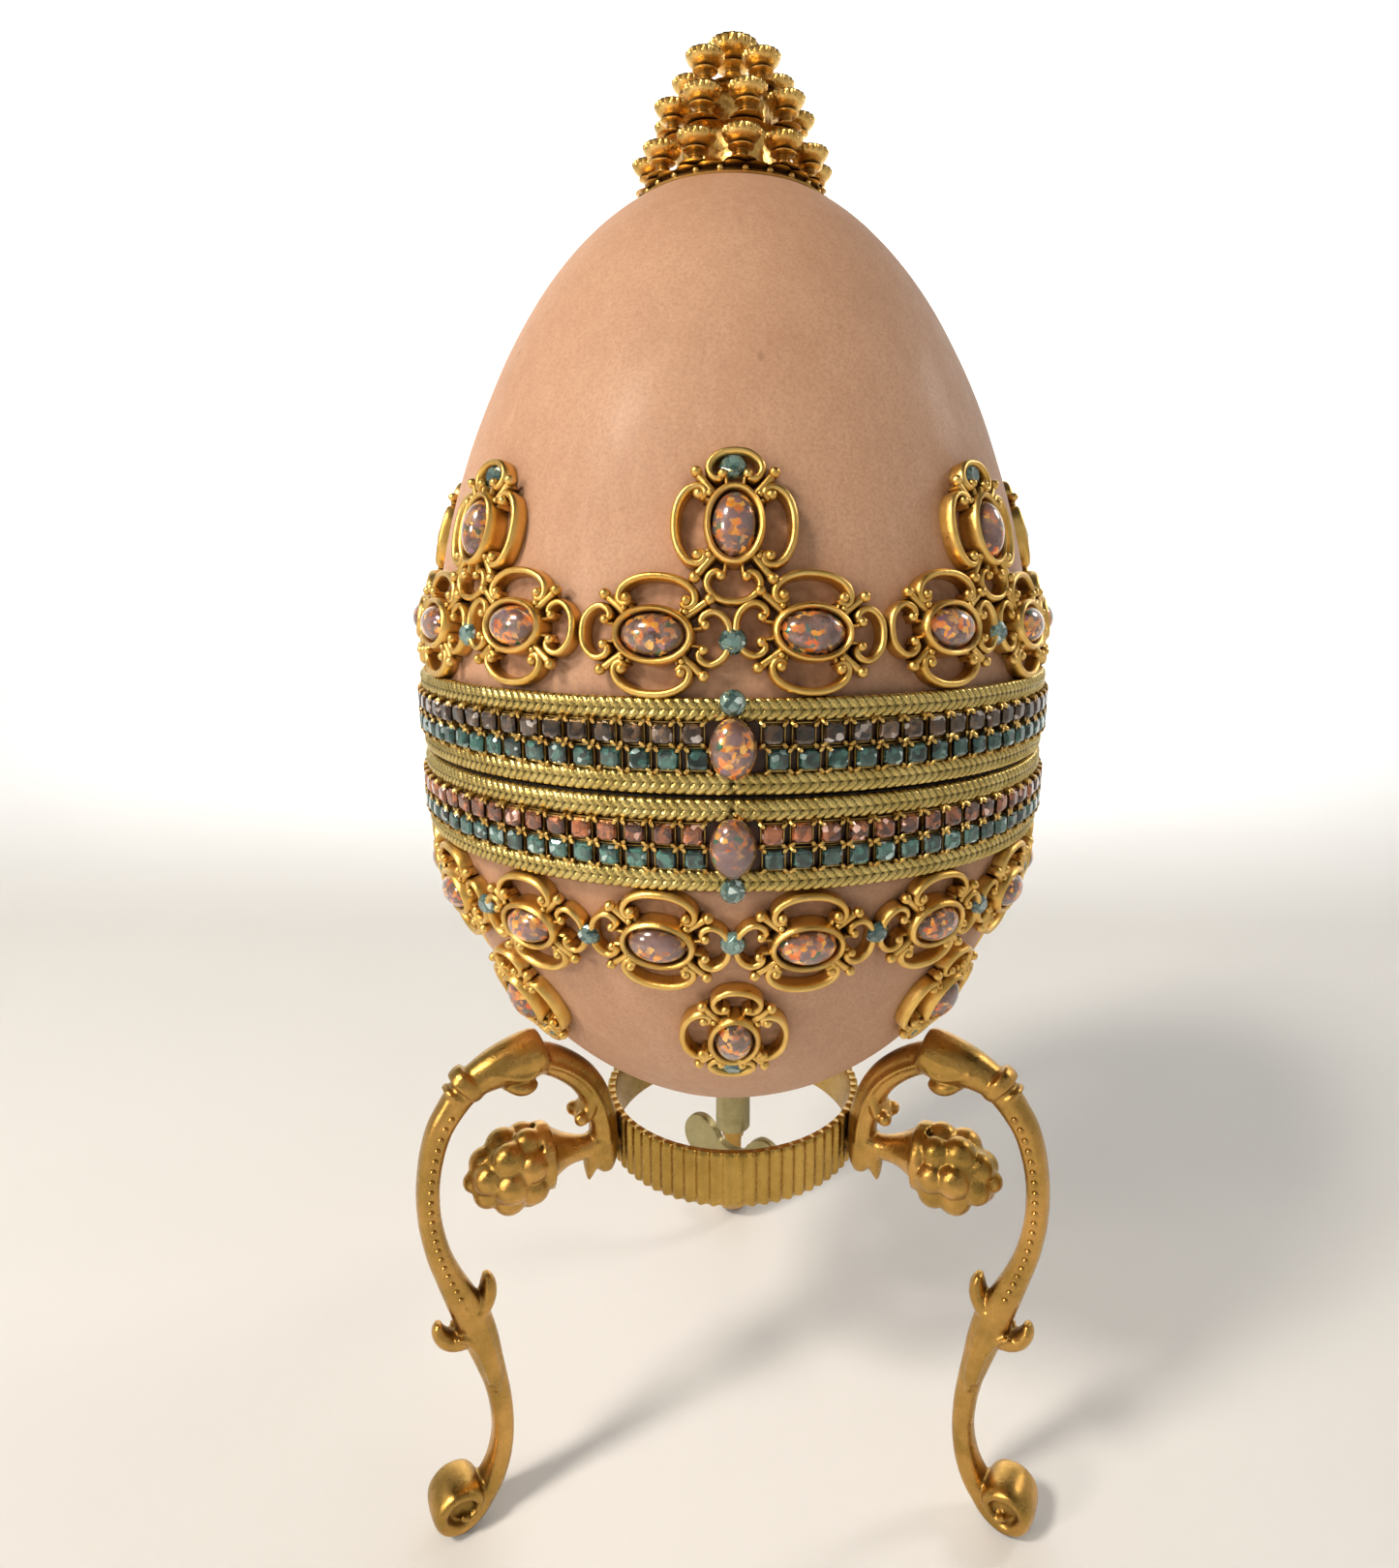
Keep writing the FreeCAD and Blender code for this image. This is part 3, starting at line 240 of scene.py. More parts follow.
# Points across a wire's section, as shares of half its width and of its height.
ROUND_TOP = np.array([
    (-1, 0), (-0.98, 0.5), (-0.85, 0.8), (-0.5, 0.97),
    (0, 1.02), (0.5, 0.97), (0.85, 0.8), (0.98, 0.5), (1, 0),
])


def wire(shape, line, width, tall, base=0.0):
    """A round-topped wire laid flat along an open line in the plane."""
    line = np.asarray(line, float)
    ahead = np.vstack([line[1:2] - line[:1], line[2:] - line[:-2], line[-1:] - line[-2:-1]])
    ahead /= np.linalg.norm(ahead, axis=1)[:, None]
    side = np.column_stack([-ahead[:, 1], ahead[:, 0]])
    across = len(ROUND_TOP)
    points = np.zeros((len(line), across, 3))
    points[:, :, :2] = line[:, None] + side[:, None] * (ROUND_TOP[:, :1] * width / 2)
    points[:, :, 2] = base + ROUND_TOP[:, 1] * tall
    return shape.add(points, grid(len(line), across, False, True), *end_faces(len(line), across))


def ball(shape, centre, radius, stretch=(1, 1, 1), across=12, down=8):
    angle = np.linspace(0, 2 * math.pi, across, endpoint=False)
    dip = np.linspace(0.5 * math.pi, -0.5 * math.pi, down + 1)[1:-1]
    rings = np.stack([np.outer(np.cos(dip), np.cos(angle)), np.outer(np.cos(dip), np.sin(angle)),
                      np.repeat(np.sin(dip)[:, None], across, 1)], -1).reshape(-1, 3)
    points = np.vstack([rings, [(0, 0, 1), (0, 0, -1)]]) * radius * np.array(stretch) + centre
    top, bottom = len(rings), len(rings) + 1
    i = np.arange(across)
    caps = np.column_stack([i, (i + 1) % across, np.full(across, top)])
    lowest = len(rings) - across
    feet = np.column_stack([lowest + (i + 1) % across, lowest + i, np.full(across, bottom)])
    return shape.add(points, grid(down - 1, across, False, True)[:, ::-1], caps, feet)


def lathe(shape, profile, count, ripple=None):
    """Turn (radius, height) points about +Z. A ripple gives the radius's share at each angle and point."""
    profile = np.asarray(profile, float)
    angle = np.linspace(0, 2 * math.pi, count, endpoint=False)
    radius = np.repeat(profile[:, :1], count, 1)
    if ripple is not None:
        radius = radius * ripple(angle[None], profile[:, 1:])
    height = np.repeat(profile[:, 1:], count, 1)
    points = np.stack([radius * np.cos(angle), radius * np.sin(angle), height], -1)
    return shape.add(points, grid(len(profile), count, False, True))


# ---------------------------------------------------------------- finishes

class Finish:
    """A material under construction. A socket, a number or a colour can feed any input."""

    def __init__(self, name, **values):
        self.material = bpy.data.materials.new(name)
        self.material.use_nodes = True
        self.tree = self.material.node_tree
        self.shader = self.tree.nodes["Principled BSDF"]
        self.feed(self.shader, values)
        coords = self.tree.nodes.new("ShaderNodeTexCoord")
        self.place = coords.outputs["Object"]

    def feed(self, node, values):
        for key, value in values.items():
            numbered = key[0] == "_"
            socket = node.inputs[int(key[1:]) if numbered else key.replace("_", " ")]
            if isinstance(value, bpy.types.NodeSocket):
                self.tree.links.new(value, socket)
            elif socket.type == "RGBA":
                socket.default_value = (*value[:3], 1)
            else:
                socket.default_value = value

    def node(self, kind, settings=(), output=0, **inputs):
        made = self.tree.nodes.new("ShaderNode" + kind)
        for key, value in dict(settings).items():
            setattr(made, key, value)
        self.feed(made, inputs)
        return made.outputs[output]

    def scaled(self, x=1.0, y=1.0, z=1.0):
        """Coordinates in millimetres, stretched."""
        return self.node("Mapping", Vector=self.place, Scale=(x / MM, y / MM, z / MM))

    def noise(self, scale, detail=3.0, rough=0.55, where=None):
        where = where or self.scaled()
        return self.node("TexNoise", Vector=where, Scale=scale, Detail=detail, Roughness=rough)

    def ramp(self, factor, *stops):
        node = self.tree.nodes.new("ShaderNodeValToRGB")
        points = node.color_ramp.elements
        while len(points) < len(stops):
            points.new(0.5)
        for point, (where, colour) in zip(points, stops):
            point.position = where
            point.color = (*colour, 1) if isinstance(colour, tuple) else (colour, colour, colour, 1)
        self.tree.links.new(factor, node.inputs["Fac"])
        return node.outputs["Color"]

    def mix(self, factor, first, second):
        return self.node("Mix", {"data_type": "RGBA"}, 2, _0=factor, _6=first, _7=second)

    def blend(self, factor, start, end, first, second):
        """Go from the first colour to the second while the factor goes from start to end."""
        return self.mix(self.ramp(factor, (start, 0.0), (end, 1.0)), first, second)

    def math(self, how, first, second=0.0):
        return self.node("Math", {"operation": how}, _0=first, _1=second)

    def attribute(self, name):
        return self.node("Attribute", {"attribute_name": name}, 2)

    def hollows(self, reach, samples=6):
        """1 on open surfaces and less in recesses within this reach in millimetres."""
        return self.node("AmbientOcclusion", {"samples": samples}, 1, Distance=reach * MM)

    def bump(self, height, depth, strength=1.0):
        return self.node("Bump", Height=height, Distance=depth * MM, Strength=strength)

    def done(self, **values):
        self.feed(self.shader, values)
        return self.material


def gilt(name, bright, deep, shade_and_grime, shine=(0.22, 0.42), reach=1.2, patch=0.25, grain=2.5, depth=0.04):
    """Cast and gilded metal, a little pitted: brighter on the high spots, and browner in the recesses from
    painted shade with some grime.
    """
    f = Finish(name, Metallic=1.0)
    cloud = f.noise(patch, 4.0, 0.6)
    colour = f.blend(cloud, 0.35, 0.65, deep, bright)
    # painted shade with some grime: the recesses take the darker brown colour
    open_area = f.ramp(f.hollows(reach), (0.25, 0.0), (0.8, 1.0))
    colour = f.mix(open_area, shade_and_grime, colour)
    fine = f.noise(grain, 5.0, 0.65)
    rough = f.ramp(f.noise(grain * 0.35, 4.0, 0.7), (0.3, shine[0]), (0.7, shine[1]))
    rough = f.mix(open_area, (0.6, 0.6, 0.6), rough)
    return f.done(Base_Color=colour, Roughness=rough, Normal=f.bump(fine, depth))


def shell_finish():
    """Satin paint on an eggshell: fine pores, faint streaks, specks, and painted shade with some grime beside
    the trims.
    """
    f = Finish("shell_paint", Coat_Weight=0.05, Coat_Roughness=0.22, Specular_IOR_Level=0.3)
    cloud = f.noise(0.05, 4.0, 0.6)
    colour = f.blend(cloud, 0.3, 0.7, (0.54, 0.300, 0.185), (0.65, 0.385, 0.245))
    streak = f.noise(1.0, 3.0, 0.6, where=f.scaled(0.8, 0.8, 0.05))
    colour = f.mix(f.ramp(streak, (0.42, 0.0), (0.75, 0.35)), colour, (0.72, 0.45, 0.30))
    pores = f.noise(3.2, 4.0, 0.7)
    colour = f.mix(f.ramp(pores, (0.38, 0.42), (0.56, 0.0)), colour, (0.40, 0.21, 0.13))
    spots = f.node("TexVoronoi", {"feature": "F1"}, 0, Vector=f.scaled(0.9, 0.9, 0.5), Scale=0.16)
    sparse = f.ramp(f.noise(0.12, 2.0), (0.44, 0.0), (0.52, 1.0))
    sparse = f.math("MULTIPLY", f.ramp(spots, (0.0, 1.0), (0.075, 0.0)), sparse)
    colour = f.mix(f.math("MULTIPLY", sparse, 0.75), colour, (0.16, 0.08, 0.05))
    # painted shade with some grime: darker beside the trims
    patchy = f.ramp(f.noise(0.8, 5.0, 0.7), (0.3, 0.15), (0.7, 1.0))
    shade_and_dirt = f.math("MULTIPLY", f.attribute("tone"), patchy)
    colour = f.mix(shade_and_dirt, colour, (0.20, 0.095, 0.05))
    seam = f.math("MULTIPLY", f.attribute("tone"), 0.2)
    colour = f.blend(seam, 0.3, 0.6, colour, (0.022, 0.012, 0.007))
    rough = f.ramp(f.noise(0.35, 5.0, 0.7), (0.3, 0.52), (0.7, 0.68))
    height = f.math("ADD", f.math("MULTIPLY", pores, 0.4), f.noise(1.1, 3.0))
    return f.done(Base_Color=colour, Roughness=rough, Normal=f.bump(height, 0.05))


def braid_finish():
    """Metallic thread: bright on the strands, with painted shade that makes it dark green-brown between them
    and at the joint.
    """
    f = Finish("braid_gold", Metallic=0.9)
    thread = f.blend(f.noise(0.3, 3.0), 0.35, 0.65, (0.56, 0.41, 0.12), (0.76, 0.59, 0.21))
    colour = f.blend(f.attribute("tone"), 0.15, 0.7, (0.035, 0.024, 0.007), thread)
    return f.done(Base_Color=colour, Roughness=f.ramp(f.noise(4.0, 2.0), (0.3, 0.14), (0.7, 0.34)),
                  Normal=f.bump(f.noise(6.0, 3.0), 0.02))


def gem_finish(name, dark, light, metal=0.5):
    """Foiled glass: a clear hard surface over painted broken reflections from the foil behind, a few of them
    painted bright glints that glow.
    """
    f = Finish(name, Metallic=metal, Coat_Weight=1.0, Coat_Roughness=0.015, Coat_IOR=1.7)
    chips = f.node("TexVoronoi", {"feature": "F1"}, 1, Vector=f.scaled(), Scale=1.7)
    share = f.node("SeparateColor", (), 0, Color=chips)
    spark = f.node("SeparateColor", (), 1, Color=chips)
    tone = f.math("ADD", f.math("MULTIPLY", share, 0.70), f.math("MULTIPLY", f.attribute("tone"), 0.40))
    colour = f.mix(f.ramp(tone, (0.18, 0.0), (0.55, 0.35), (0.95, 1.0)), dark, light)
    # painted glints: a few facets paler in colour and glowing
    flash = f.ramp(f.math("MULTIPLY", spark, share), (0.64, 0.0), (0.72, 1.0))
    colour = f.mix(flash, colour, tuple(0.35 + 0.65 * c for c in light))
    glow = f.mix(flash, (0, 0, 0), tuple(0.3 + 0.7 * c for c in light))
    return f.done(Base_Color=colour, Roughness=f.ramp(share, (0.0, 0.05), (1.0, 0.20)),
                  Normal=f.bump(share, 0.2), Emission_Color=glow, Emission_Strength=0.25)


def opal_finish():
    """Milky glass over crumpled foil with orange, green and violet fire, each one different, that glows as
    painted light; the rim is painted darker, for the bezel seen through the glass.
    """
    f = Finish("opal_glass", Coat_Weight=1.0, Coat_Roughness=0.015, Coat_IOR=1.6)
    warp = f.node("TexNoise", (), 1, Vector=f.scaled(), Scale=1.3, Detail=4.0)
    where = f.node("Mix", {"data_type": "VECTOR"}, 1, _0=0.5, _4=f.scaled(), _5=warp)
    parts = f.node("TexVoronoi", {"feature": "F1"}, 1, Vector=where, Scale=3.6)
    split = f.tree.nodes.new("ShaderNodeSeparateColor")
    f.tree.links.new(parts, split.inputs[0])
    hue = f.ramp(split.outputs[0],
                 (0.0, (0.62, 0.10, 0.02)), (0.22, (0.90, 0.34, 0.04)), (0.42, (0.95, 0.52, 0.12)),
                 (0.60, (0.30, 0.13, 0.20)), (0.74, (0.03, 0.17, 0.09)), (0.86, (0.80, 0.24, 0.06)))
    fog = f.noise(0.6, 4.0, 0.65)
    milk = f.blend(fog, 0.35, 0.68, (0.105, 0.050, 0.034), (0.38, 0.255, 0.21))
    milk = f.mix(f.ramp(f.noise(0.09, 1.0), (0.42, 0.0), (0.58, 0.7)), milk, (0.26, 0.15, 0.155))
    # painted darker amber rim, for the gold bezel seen through the glass
    edge = f.ramp(f.attribute("tone"), (0.5, 0.0), (1.0, 0.9))
    milk = f.mix(edge, milk, (0.12, 0.048, 0.018))
    fire = f.ramp(f.noise(0.45, 2.0), (0.38, 0.0), (0.54, 1.0))
    patch = f.math("MULTIPLY", f.ramp(split.outputs[1], (0.42, 0.0), (0.55, 1.0)), fire)
    colour = f.mix(patch, milk, hue)
    return f.done(Base_Color=colour, Metallic=f.math("MULTIPLY", patch, 0.6), Roughness=0.22,
                  Emission_Color=f.mix(patch, (0, 0, 0), hue), Emission_Strength=0.30,
                  Normal=f.bump(split.outputs[2], 0.14, 0.7))


def metal_finish(name, bright, dark, rough=(0.3, 0.5), brushed=(1, 1, 1), metallic=1.0):
    f = Finish(name, Metallic=metallic)
    lines = f.noise(3.0, 4.0, 0.6, where=f.scaled(*brushed))
    stain = f.noise(0.15, 5.0, 0.65)
    colour = f.blend(stain, 0.35, 0.7, dark, bright)
    # painted shade: darker in the recesses
    colour = f.blend(f.hollows(1.5), 0.2, 0.8, tuple(0.35 * c for c in dark), colour)
    return f.done(Base_Color=colour, Roughness=f.ramp(lines, (0.3, rough[0]), (0.7, rough[1])),
                  Normal=f.bump(lines, 0.02))


def wood_finish(name, pale, dark):
    """Varnished birch, with its grain along X."""
    f = Finish(name, Coat_Weight=0.25, Coat_Roughness=0.3)
    bent = f.noise(0.05, 3.0, 0.5)
    lines = f.noise(1.0, 5.0, 0.6, where=f.scaled(0.06, 1.1, 1.1))
    figure = f.math("ADD", f.math("MULTIPLY", bent, 0.35), f.math("MULTIPLY", lines, 0.7))
    colour = f.blend(figure, 0.38, 0.66, pale, dark)
    return f.done(Base_Color=colour, Roughness=f.ramp(lines, (0.3, 0.42), (0.7, 0.62)),
                  Normal=f.bump(lines, 0.04))


def velvet_finish(name, pile, shade):
    f = Finish(name, Roughness=0.9, Sheen_Weight=0.8, Sheen_Roughness=0.35, Sheen_Tint=(0.95, 0.75, 0.78))
    nap = f.noise(0.25, 4.0, 0.6)
    fibre = f.noise(9.0, 2.0, 0.6)
    colour = f.blend(nap, 0.35, 0.68, shade, pile)
    # painted shade: darker in the creases between the folds
    fold = f.ramp(f.attribute("tone"), (0.0, 0.0), (1.0, 0.75))
    colour = f.mix(fold, colour, tuple(0.4 * c for c in shade))
    return f.done(Base_Color=colour, Normal=f.bump(fibre, 0.12))


SHELL = shell_finish()
# For each gilt finish, the fourth colour is the painted shade with some grime in its recesses.
MEDAL = gilt("medal_gold", (0.92, 0.62, 0.20), (0.74, 0.45, 0.11), (0.17, 0.075, 0.018), (0.26, 0.42), 0.8)
STAND = gilt("stand_gold", (0.63, 0.355, 0.10), (0.37, 0.225, 0.052), (0.10, 0.048, 0.010), (0.22, 0.40),
             2.4, 0.14)
FINIAL = gilt("finial_gold", (0.90, 0.60, 0.20), (0.68, 0.40, 0.10), (0.09, 0.036, 0.010), (0.20, 0.34), 1.0)
RING = gilt("ring_gold", (0.55, 0.345, 0.088), (0.36, 0.22, 0.046), (0.10, 0.05, 0.012), (0.18, 0.32),
            0.8, 0.1)
CHAIN = gilt("chain_gold", (0.86, 0.58, 0.19), (0.60, 0.36, 0.09), (0.06, 0.024, 0.006), (0.15, 0.3), 0.7)
BRAID = braid_finish()
OPAL = opal_finish()
SMOKY = gem_finish("stone_smoky", (0.009, 0.005, 0.003), (0.20, 0.105, 0.048))
ROSE = gem_finish("stone_rose", (0.050, 0.012, 0.004), (0.64, 0.20, 0.065))
AQUA = gem_finish("stone_aqua", (0.003, 0.014, 0.013), (0.085, 0.26, 0.22))
PALE_AQUA = gem_finish("stone_pale_aqua", (0.02, 0.075, 0.070), (0.26, 0.42, 0.38), 0.35)
VELVET = velvet_finish("lining_velvet", (0.24, 0.030, 0.045), (0.11, 0.010, 0.018))
DARK_BACKING = metal_finish("dark_backing", (0.11, 0.045, 0.018), (0.045, 0.016, 0.006), (0.3, 0.6), metallic=0.1)

HINGE = metal_finish("hinge_brass", (0.62, 0.42, 0.15), (0.34, 0.21, 0.07), brushed=(6, 0.4, 0.4))
KEY = metal_finish("key_brass", (0.56, 0.50, 0.27), (0.33, 0.28, 0.13), (0.32, 0.55))
ZINC = metal_finish("movement_zinc", (0.56, 0.56, 0.53), (0.38, 0.38, 0.36), (0.35, 0.55), (0.4, 5, 5))
STEEL = metal_finish("movement_steel", (0.60, 0.60, 0.60), (0.42, 0.42, 0.44), (0.22, 0.4), (5, 0.4, 5))
BRASS = metal_finish("movement_brass", (0.72, 0.52, 0.20), (0.46, 0.31, 0.10), (0.25, 0.42), (5, 5, 0.4))
WOOD = wood_finish("tray_wood", (0.47, 0.29, 0.15), (0.27, 0.145, 0.065))


def coat(finish, slot, *nodes):
    """Give CAD pieces that show as they are a finish of their own."""
    for name in nodes:
        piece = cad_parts[name]
        for holder in piece.material_slots:
            holder.link = "OBJECT"
            holder.material = finish


coat(HINGE, "hinge_brass", "lid_hinge_leaf", "base_hinge_leaf", "hinge_pin")
coat(STAND, "stand_gold", "leg_rivets")
coat(KEY, "key_brass", "key_stem", "key_wings", "key_bushing")
coat(WOOD, "tray_wood", "tray", "movement_board")
coat(ZINC, "movement_zinc", "movement_bedplate", "spring_housing", "drum_bearings", "governor_bracket",
     "comb_block")
coat(STEEL, "movement_steel", "comb", "comb_screws", "drum_axle", "drum_pinion", "governor_worm")
coat(BRASS, "movement_brass", "great_wheel", "pin_drum", "drum_spur", "governor_fan")

# ---------------------------------------------------------------- the shell

GROUP_COUNT = 8
PAIR_ANGLE = math.radians(11.25)
LID_SIDE_RISE = 14.8
LID_TOP_RISE = 24.3
BASE_SIDE_RISE = -15.0
BASE_LOW_RISE = -26.8
MEDAL_LONG = 7.1
MEDAL_SHORT = 5.6
BAND_EDGE = 9.2        # half the height of the bands and their braid, from the seam
BARE_EDGE = 2.2        # half the height of the dark strip beside the seam


def group_azimuths():
    return [2 * math.pi * number / GROUP_COUNT for number in range(GROUP_COUNT)]


def side_azimuths():
    return [azimuth + side * PAIR_ANGLE for azimuth in group_azimuths() for side in (-1, 1)]


def near_trim(azimuth, rise):
    """How close a point of the shell is to a medallion's edge or to the bands, from 0 to 1."""
    radius = egg_radius(rise)
    near = np.exp(-np.clip(np.abs(rise) - BAND_EDGE, 0, None) / 0.7)
    near = np.maximum(near, 9.0 * (np.abs(rise) < BARE_EDGE))
    places = []
    for side_rise, end_rise in ((LID_SIDE_RISE, LID_TOP_RISE), (BASE_SIDE_RISE, BASE_LOW_RISE)):
        places += [(a, side_rise, True) for a in side_azimuths()]
        places += [(a, end_rise, False) for a in group_azimuths()]
    for place_azimuth, place_rise, lying in places:
        across = (np.mod(azimuth - place_azimuth + math.pi, 2 * math.pi) - math.pi) * radius
        up = np.interp(rise, RISES, LENGTHS) - np.interp(place_rise, RISES, LENGTHS)
        if lying:
            across, up = up, across
        far = np.hypot(across / MEDAL_SHORT, up / MEDAL_LONG)
        near = np.maximum(near, 0.85 * np.exp(-np.clip(far - 0.93, 0, None) * 9))
    return near


def make_shell(name, low_rise, high_rise, node, body, bore=0.0):
    """Half an eggshell with real thickness, whose skin is very slightly uneven. A bore opens its pole."""
    around, along = 360, 150
    wave = 0.11
    outer = outline(low_rise, high_rise, 0.0, along)
    inner = outline(low_rise, high_rise, WALL, along // 2)
    if bore:
        outer[0, 0] = inner[0, 0] = bore
        inner[:, 1] = np.maximum(inner[:, 1], EGG_MIDDLE - EGG_HALF + WALL)
    angle = np.linspace(-math.pi, math.pi, around, endpoint=False)
    rings = np.vstack([outer, inner[::-1]])
    outside = np.arange(len(rings)) < len(outer)
    points = np.zeros((len(rings), around, 3))
    for number, (radius, rise) in enumerate(rings):
        reach = np.full(around, radius)
        if outside[number] and radius > 3:
            across = radius * wave
            reach = reach + [0.10 * noise.noise((math.sin(a) * across, math.cos(a) * across, rise * wave))
                             for a in angle]
        points[number] = at_azimuth(angle, reach, SEAM + rise)
    tone = np.where(outside[:, None], near_trim(angle[None], rings[:, 1:]), 0.0)
    shape = Shape()
    shape.add(points, grid(len(rings), around, bore > 0, True), tone=tone.ravel())
    return shape.made(name, SHELL, body, node, slot="shell_paint")


make_shell("painted_lid", 0.08, 64.97, "lid_shell", "lid")
make_shell("painted_base", -49.47, -0.08, "base_shell", "egg_base", bore=4.0)

# ---------------------------------------------------------------- braids

BAND_INNER = 38.32
BAND_OUTER = 39.2
HINGE_GAP = 12.6
GAP_ANGLE = math.asin(HINGE_GAP / 2 / BAND_OUTER)
CHEVRON = 0.92
STRAND_LEAN = 0.95     # how far a strand runs along the plait, in chevrons, from its middle to its edge
PLAIT_SWELL = 1.2      # how much wider the plait lies than its core
PLAIT_POINTS = 13      # across the plait


def make_braid(name, node, body):
    """A flat plait of metallic thread laid round the band, with a butt joint at the front."""
    rise = (low(node)[2] + high(node)[2]) / 2 - SEAM
    half = (high(node)[2] - low(node)[2]) / 2
    length = 2 * (math.pi - GAP_ANGLE) * BAND_OUTER
    steps = int(length / CHEVRON * 10)
    arc = np.linspace(-length / 2, length / 2, steps)
    turn = np.linspace(0, math.pi, PLAIT_POINTS)
    across = -np.cos(turn)
    tall = np.sin(turn) ** 0.55
    strand = np.abs(np.sin(math.pi * (arc[:, None] / CHEVRON + STRAND_LEAN * np.abs(across)[None])))
    split = 1 - np.exp(-(across / 0.12) ** 2)
    depth = strand ** 0.6 * (0.45 + 0.55 * split)
    wave = 0.03 * np.sin(arc * 0.9)[:, None] + 0.02 * np.sin(arc * 2.3 + 1)[:, None]
    joint = 1 - 0.55 * np.exp(-(arc / 0.35) ** 2)[:, None]
    out = (0.56 * tall[None] * joint + 0.32 * depth * tall[None] ** 0.5) * (0.97 + wave)
    up = PLAIT_SWELL * half * across[None] * (0.97 + 0.04 * strand) + 0.5 * wave
    flat = np.stack([np.repeat(arc[:, None], PLAIT_POINTS, 1), up, out], -1).reshape(-1, 3)
    points = on_band(flat, 0.0, rise, BAND_INNER)
    shape = Shape()
    ends = end_faces(steps, PLAIT_POINTS)
    # The tone is low in the grooves and at the joint, where the braid finish paints shade.
    shape.add(points, grid(steps, PLAIT_POINTS, False, True), *ends, tone=(depth * joint).ravel())
    return shape.made(name, BRAID, body, node, slot="braid_gold", smooth=60)


make_braid("lid_plait_upper", "lid_braid_far", "lid")
make_braid("lid_plait_lower", "lid_braid_near", "lid")
make_braid("base_plait_upper", "base_braid_near", "egg_base")
make_braid("base_plait_lower", "base_braid_far", "egg_base")

# ---------------------------------------------------------------- stone chains

CHAIN_PITCH = 2.8
FRONT_GAP = 2.3
CUP_LENGTH = 2.45
CUP = 2.3
STONE = 1.96
STONE_SEAT = 38.75
CHAIN_SEAT = 38.3
STONE_LIFT = 0.30      # of a stone's girdle above the seat
ROWS = {"near": 2.4 + CUP / 2, "far": 4.8 + CUP / 2}
CLAW = ((1.0, 0.1, 0.27), (1.02, 0.75, 0.25), (0.97, 1.08, 0.23), (0.84, 1.27, 0.19), (0.74, 1.25, 0.10))
CLAW_SIDES = 6


def chain_angles():
    step = CHAIN_PITCH / STONE_SEAT
    start = (FRONT_GAP + CHAIN_PITCH / 2) / STONE_SEAT
    limit = math.pi - (HINGE_GAP + CUP_LENGTH) / 2 / STONE_SEAT
    count = int((limit - start) / step) + 1
    return [side * (start + step * number) for side in (-1, 1) for number in range(count)]


def cup_shape():
    """A square setting with a low wall and a claw over each corner of its stone."""
    shape = Shape()
    half = CUP / 2
    square = [(half, half), (-half, half), (-half, -half), (half, -half)]
    levels = [(1.0, 0.0), (1.0, 0.55), (0.97, 0.62), (0.90, 0.62), (0.88, 0.2)]
    points = [(x * share, y * share, z) for share, z in levels for x, y in square]
    shape.add(points, grid(len(levels), 4, False, True), end_faces(len(levels), 4)[1][:, ::-1])
    for x, y in square:
        claw = []
        for pull, z, thick in CLAW:
            for turn in range(CLAW_SIDES):
                a = turn * math.pi / 3
                claw.append((x * pull + thick * math.cos(a), y * pull + thick * math.sin(a), z))
        shape.add(claw, grid(len(CLAW), CLAW_SIDES, False, True), end_faces(len(CLAW), CLAW_SIDES)[1])
    return shape


def square_gem():
    """A square stone with cut corners: girdle, crown facets and table."""
    rings = ((1.0, 0.0), (1.0, 0.12), (0.83, 0.38), (0.55, 0.5))
    corner = 0.32
    half = STONE / 2
    outline_points = []
    for quarter in range(4):
        c, s = math.cos(quarter * math.pi / 2), math.sin(quarter * math.pi / 2)
        for x, y in ((half, -half + corner * half), (half, half - corner * half)):
            outline_points.append((x * c - y * s, x * s + y * c))
    points = [(x * share, y * share, z) for share, z in rings for x, y in outline_points]
    return Shape().add(points, grid(4, 8, False, True), 24 + np.arange(8)[None], np.arange(8)[None, ::-1])


def round_gem(radius, tall):
    rings = ((1.0, 0.0), (1.0, 0.15), (0.86, 0.6), (0.55, 1.0))
    points = []
    for number, (share, z) in enumerate(rings):
        for turn in range(10):
            a = 2 * math.pi * (turn + 0.5 * (number % 2)) / 10
            points.append((radius * share * math.cos(a), radius * share * math.sin(a), tall * z))
    return Shape().add(points, grid(4, 10, False, True), 30 + np.arange(10)[None], np.arange(10)[None, ::-1])


def tilted(points, most):
    """Tip a small stone a little, so that its facets catch the light differently."""
    a, b = random.uniform(-most, most, 2)
    tipped = points.copy()
    tipped[:, 2] += points[:, 0] * a + points[:, 1] * b
    return tipped


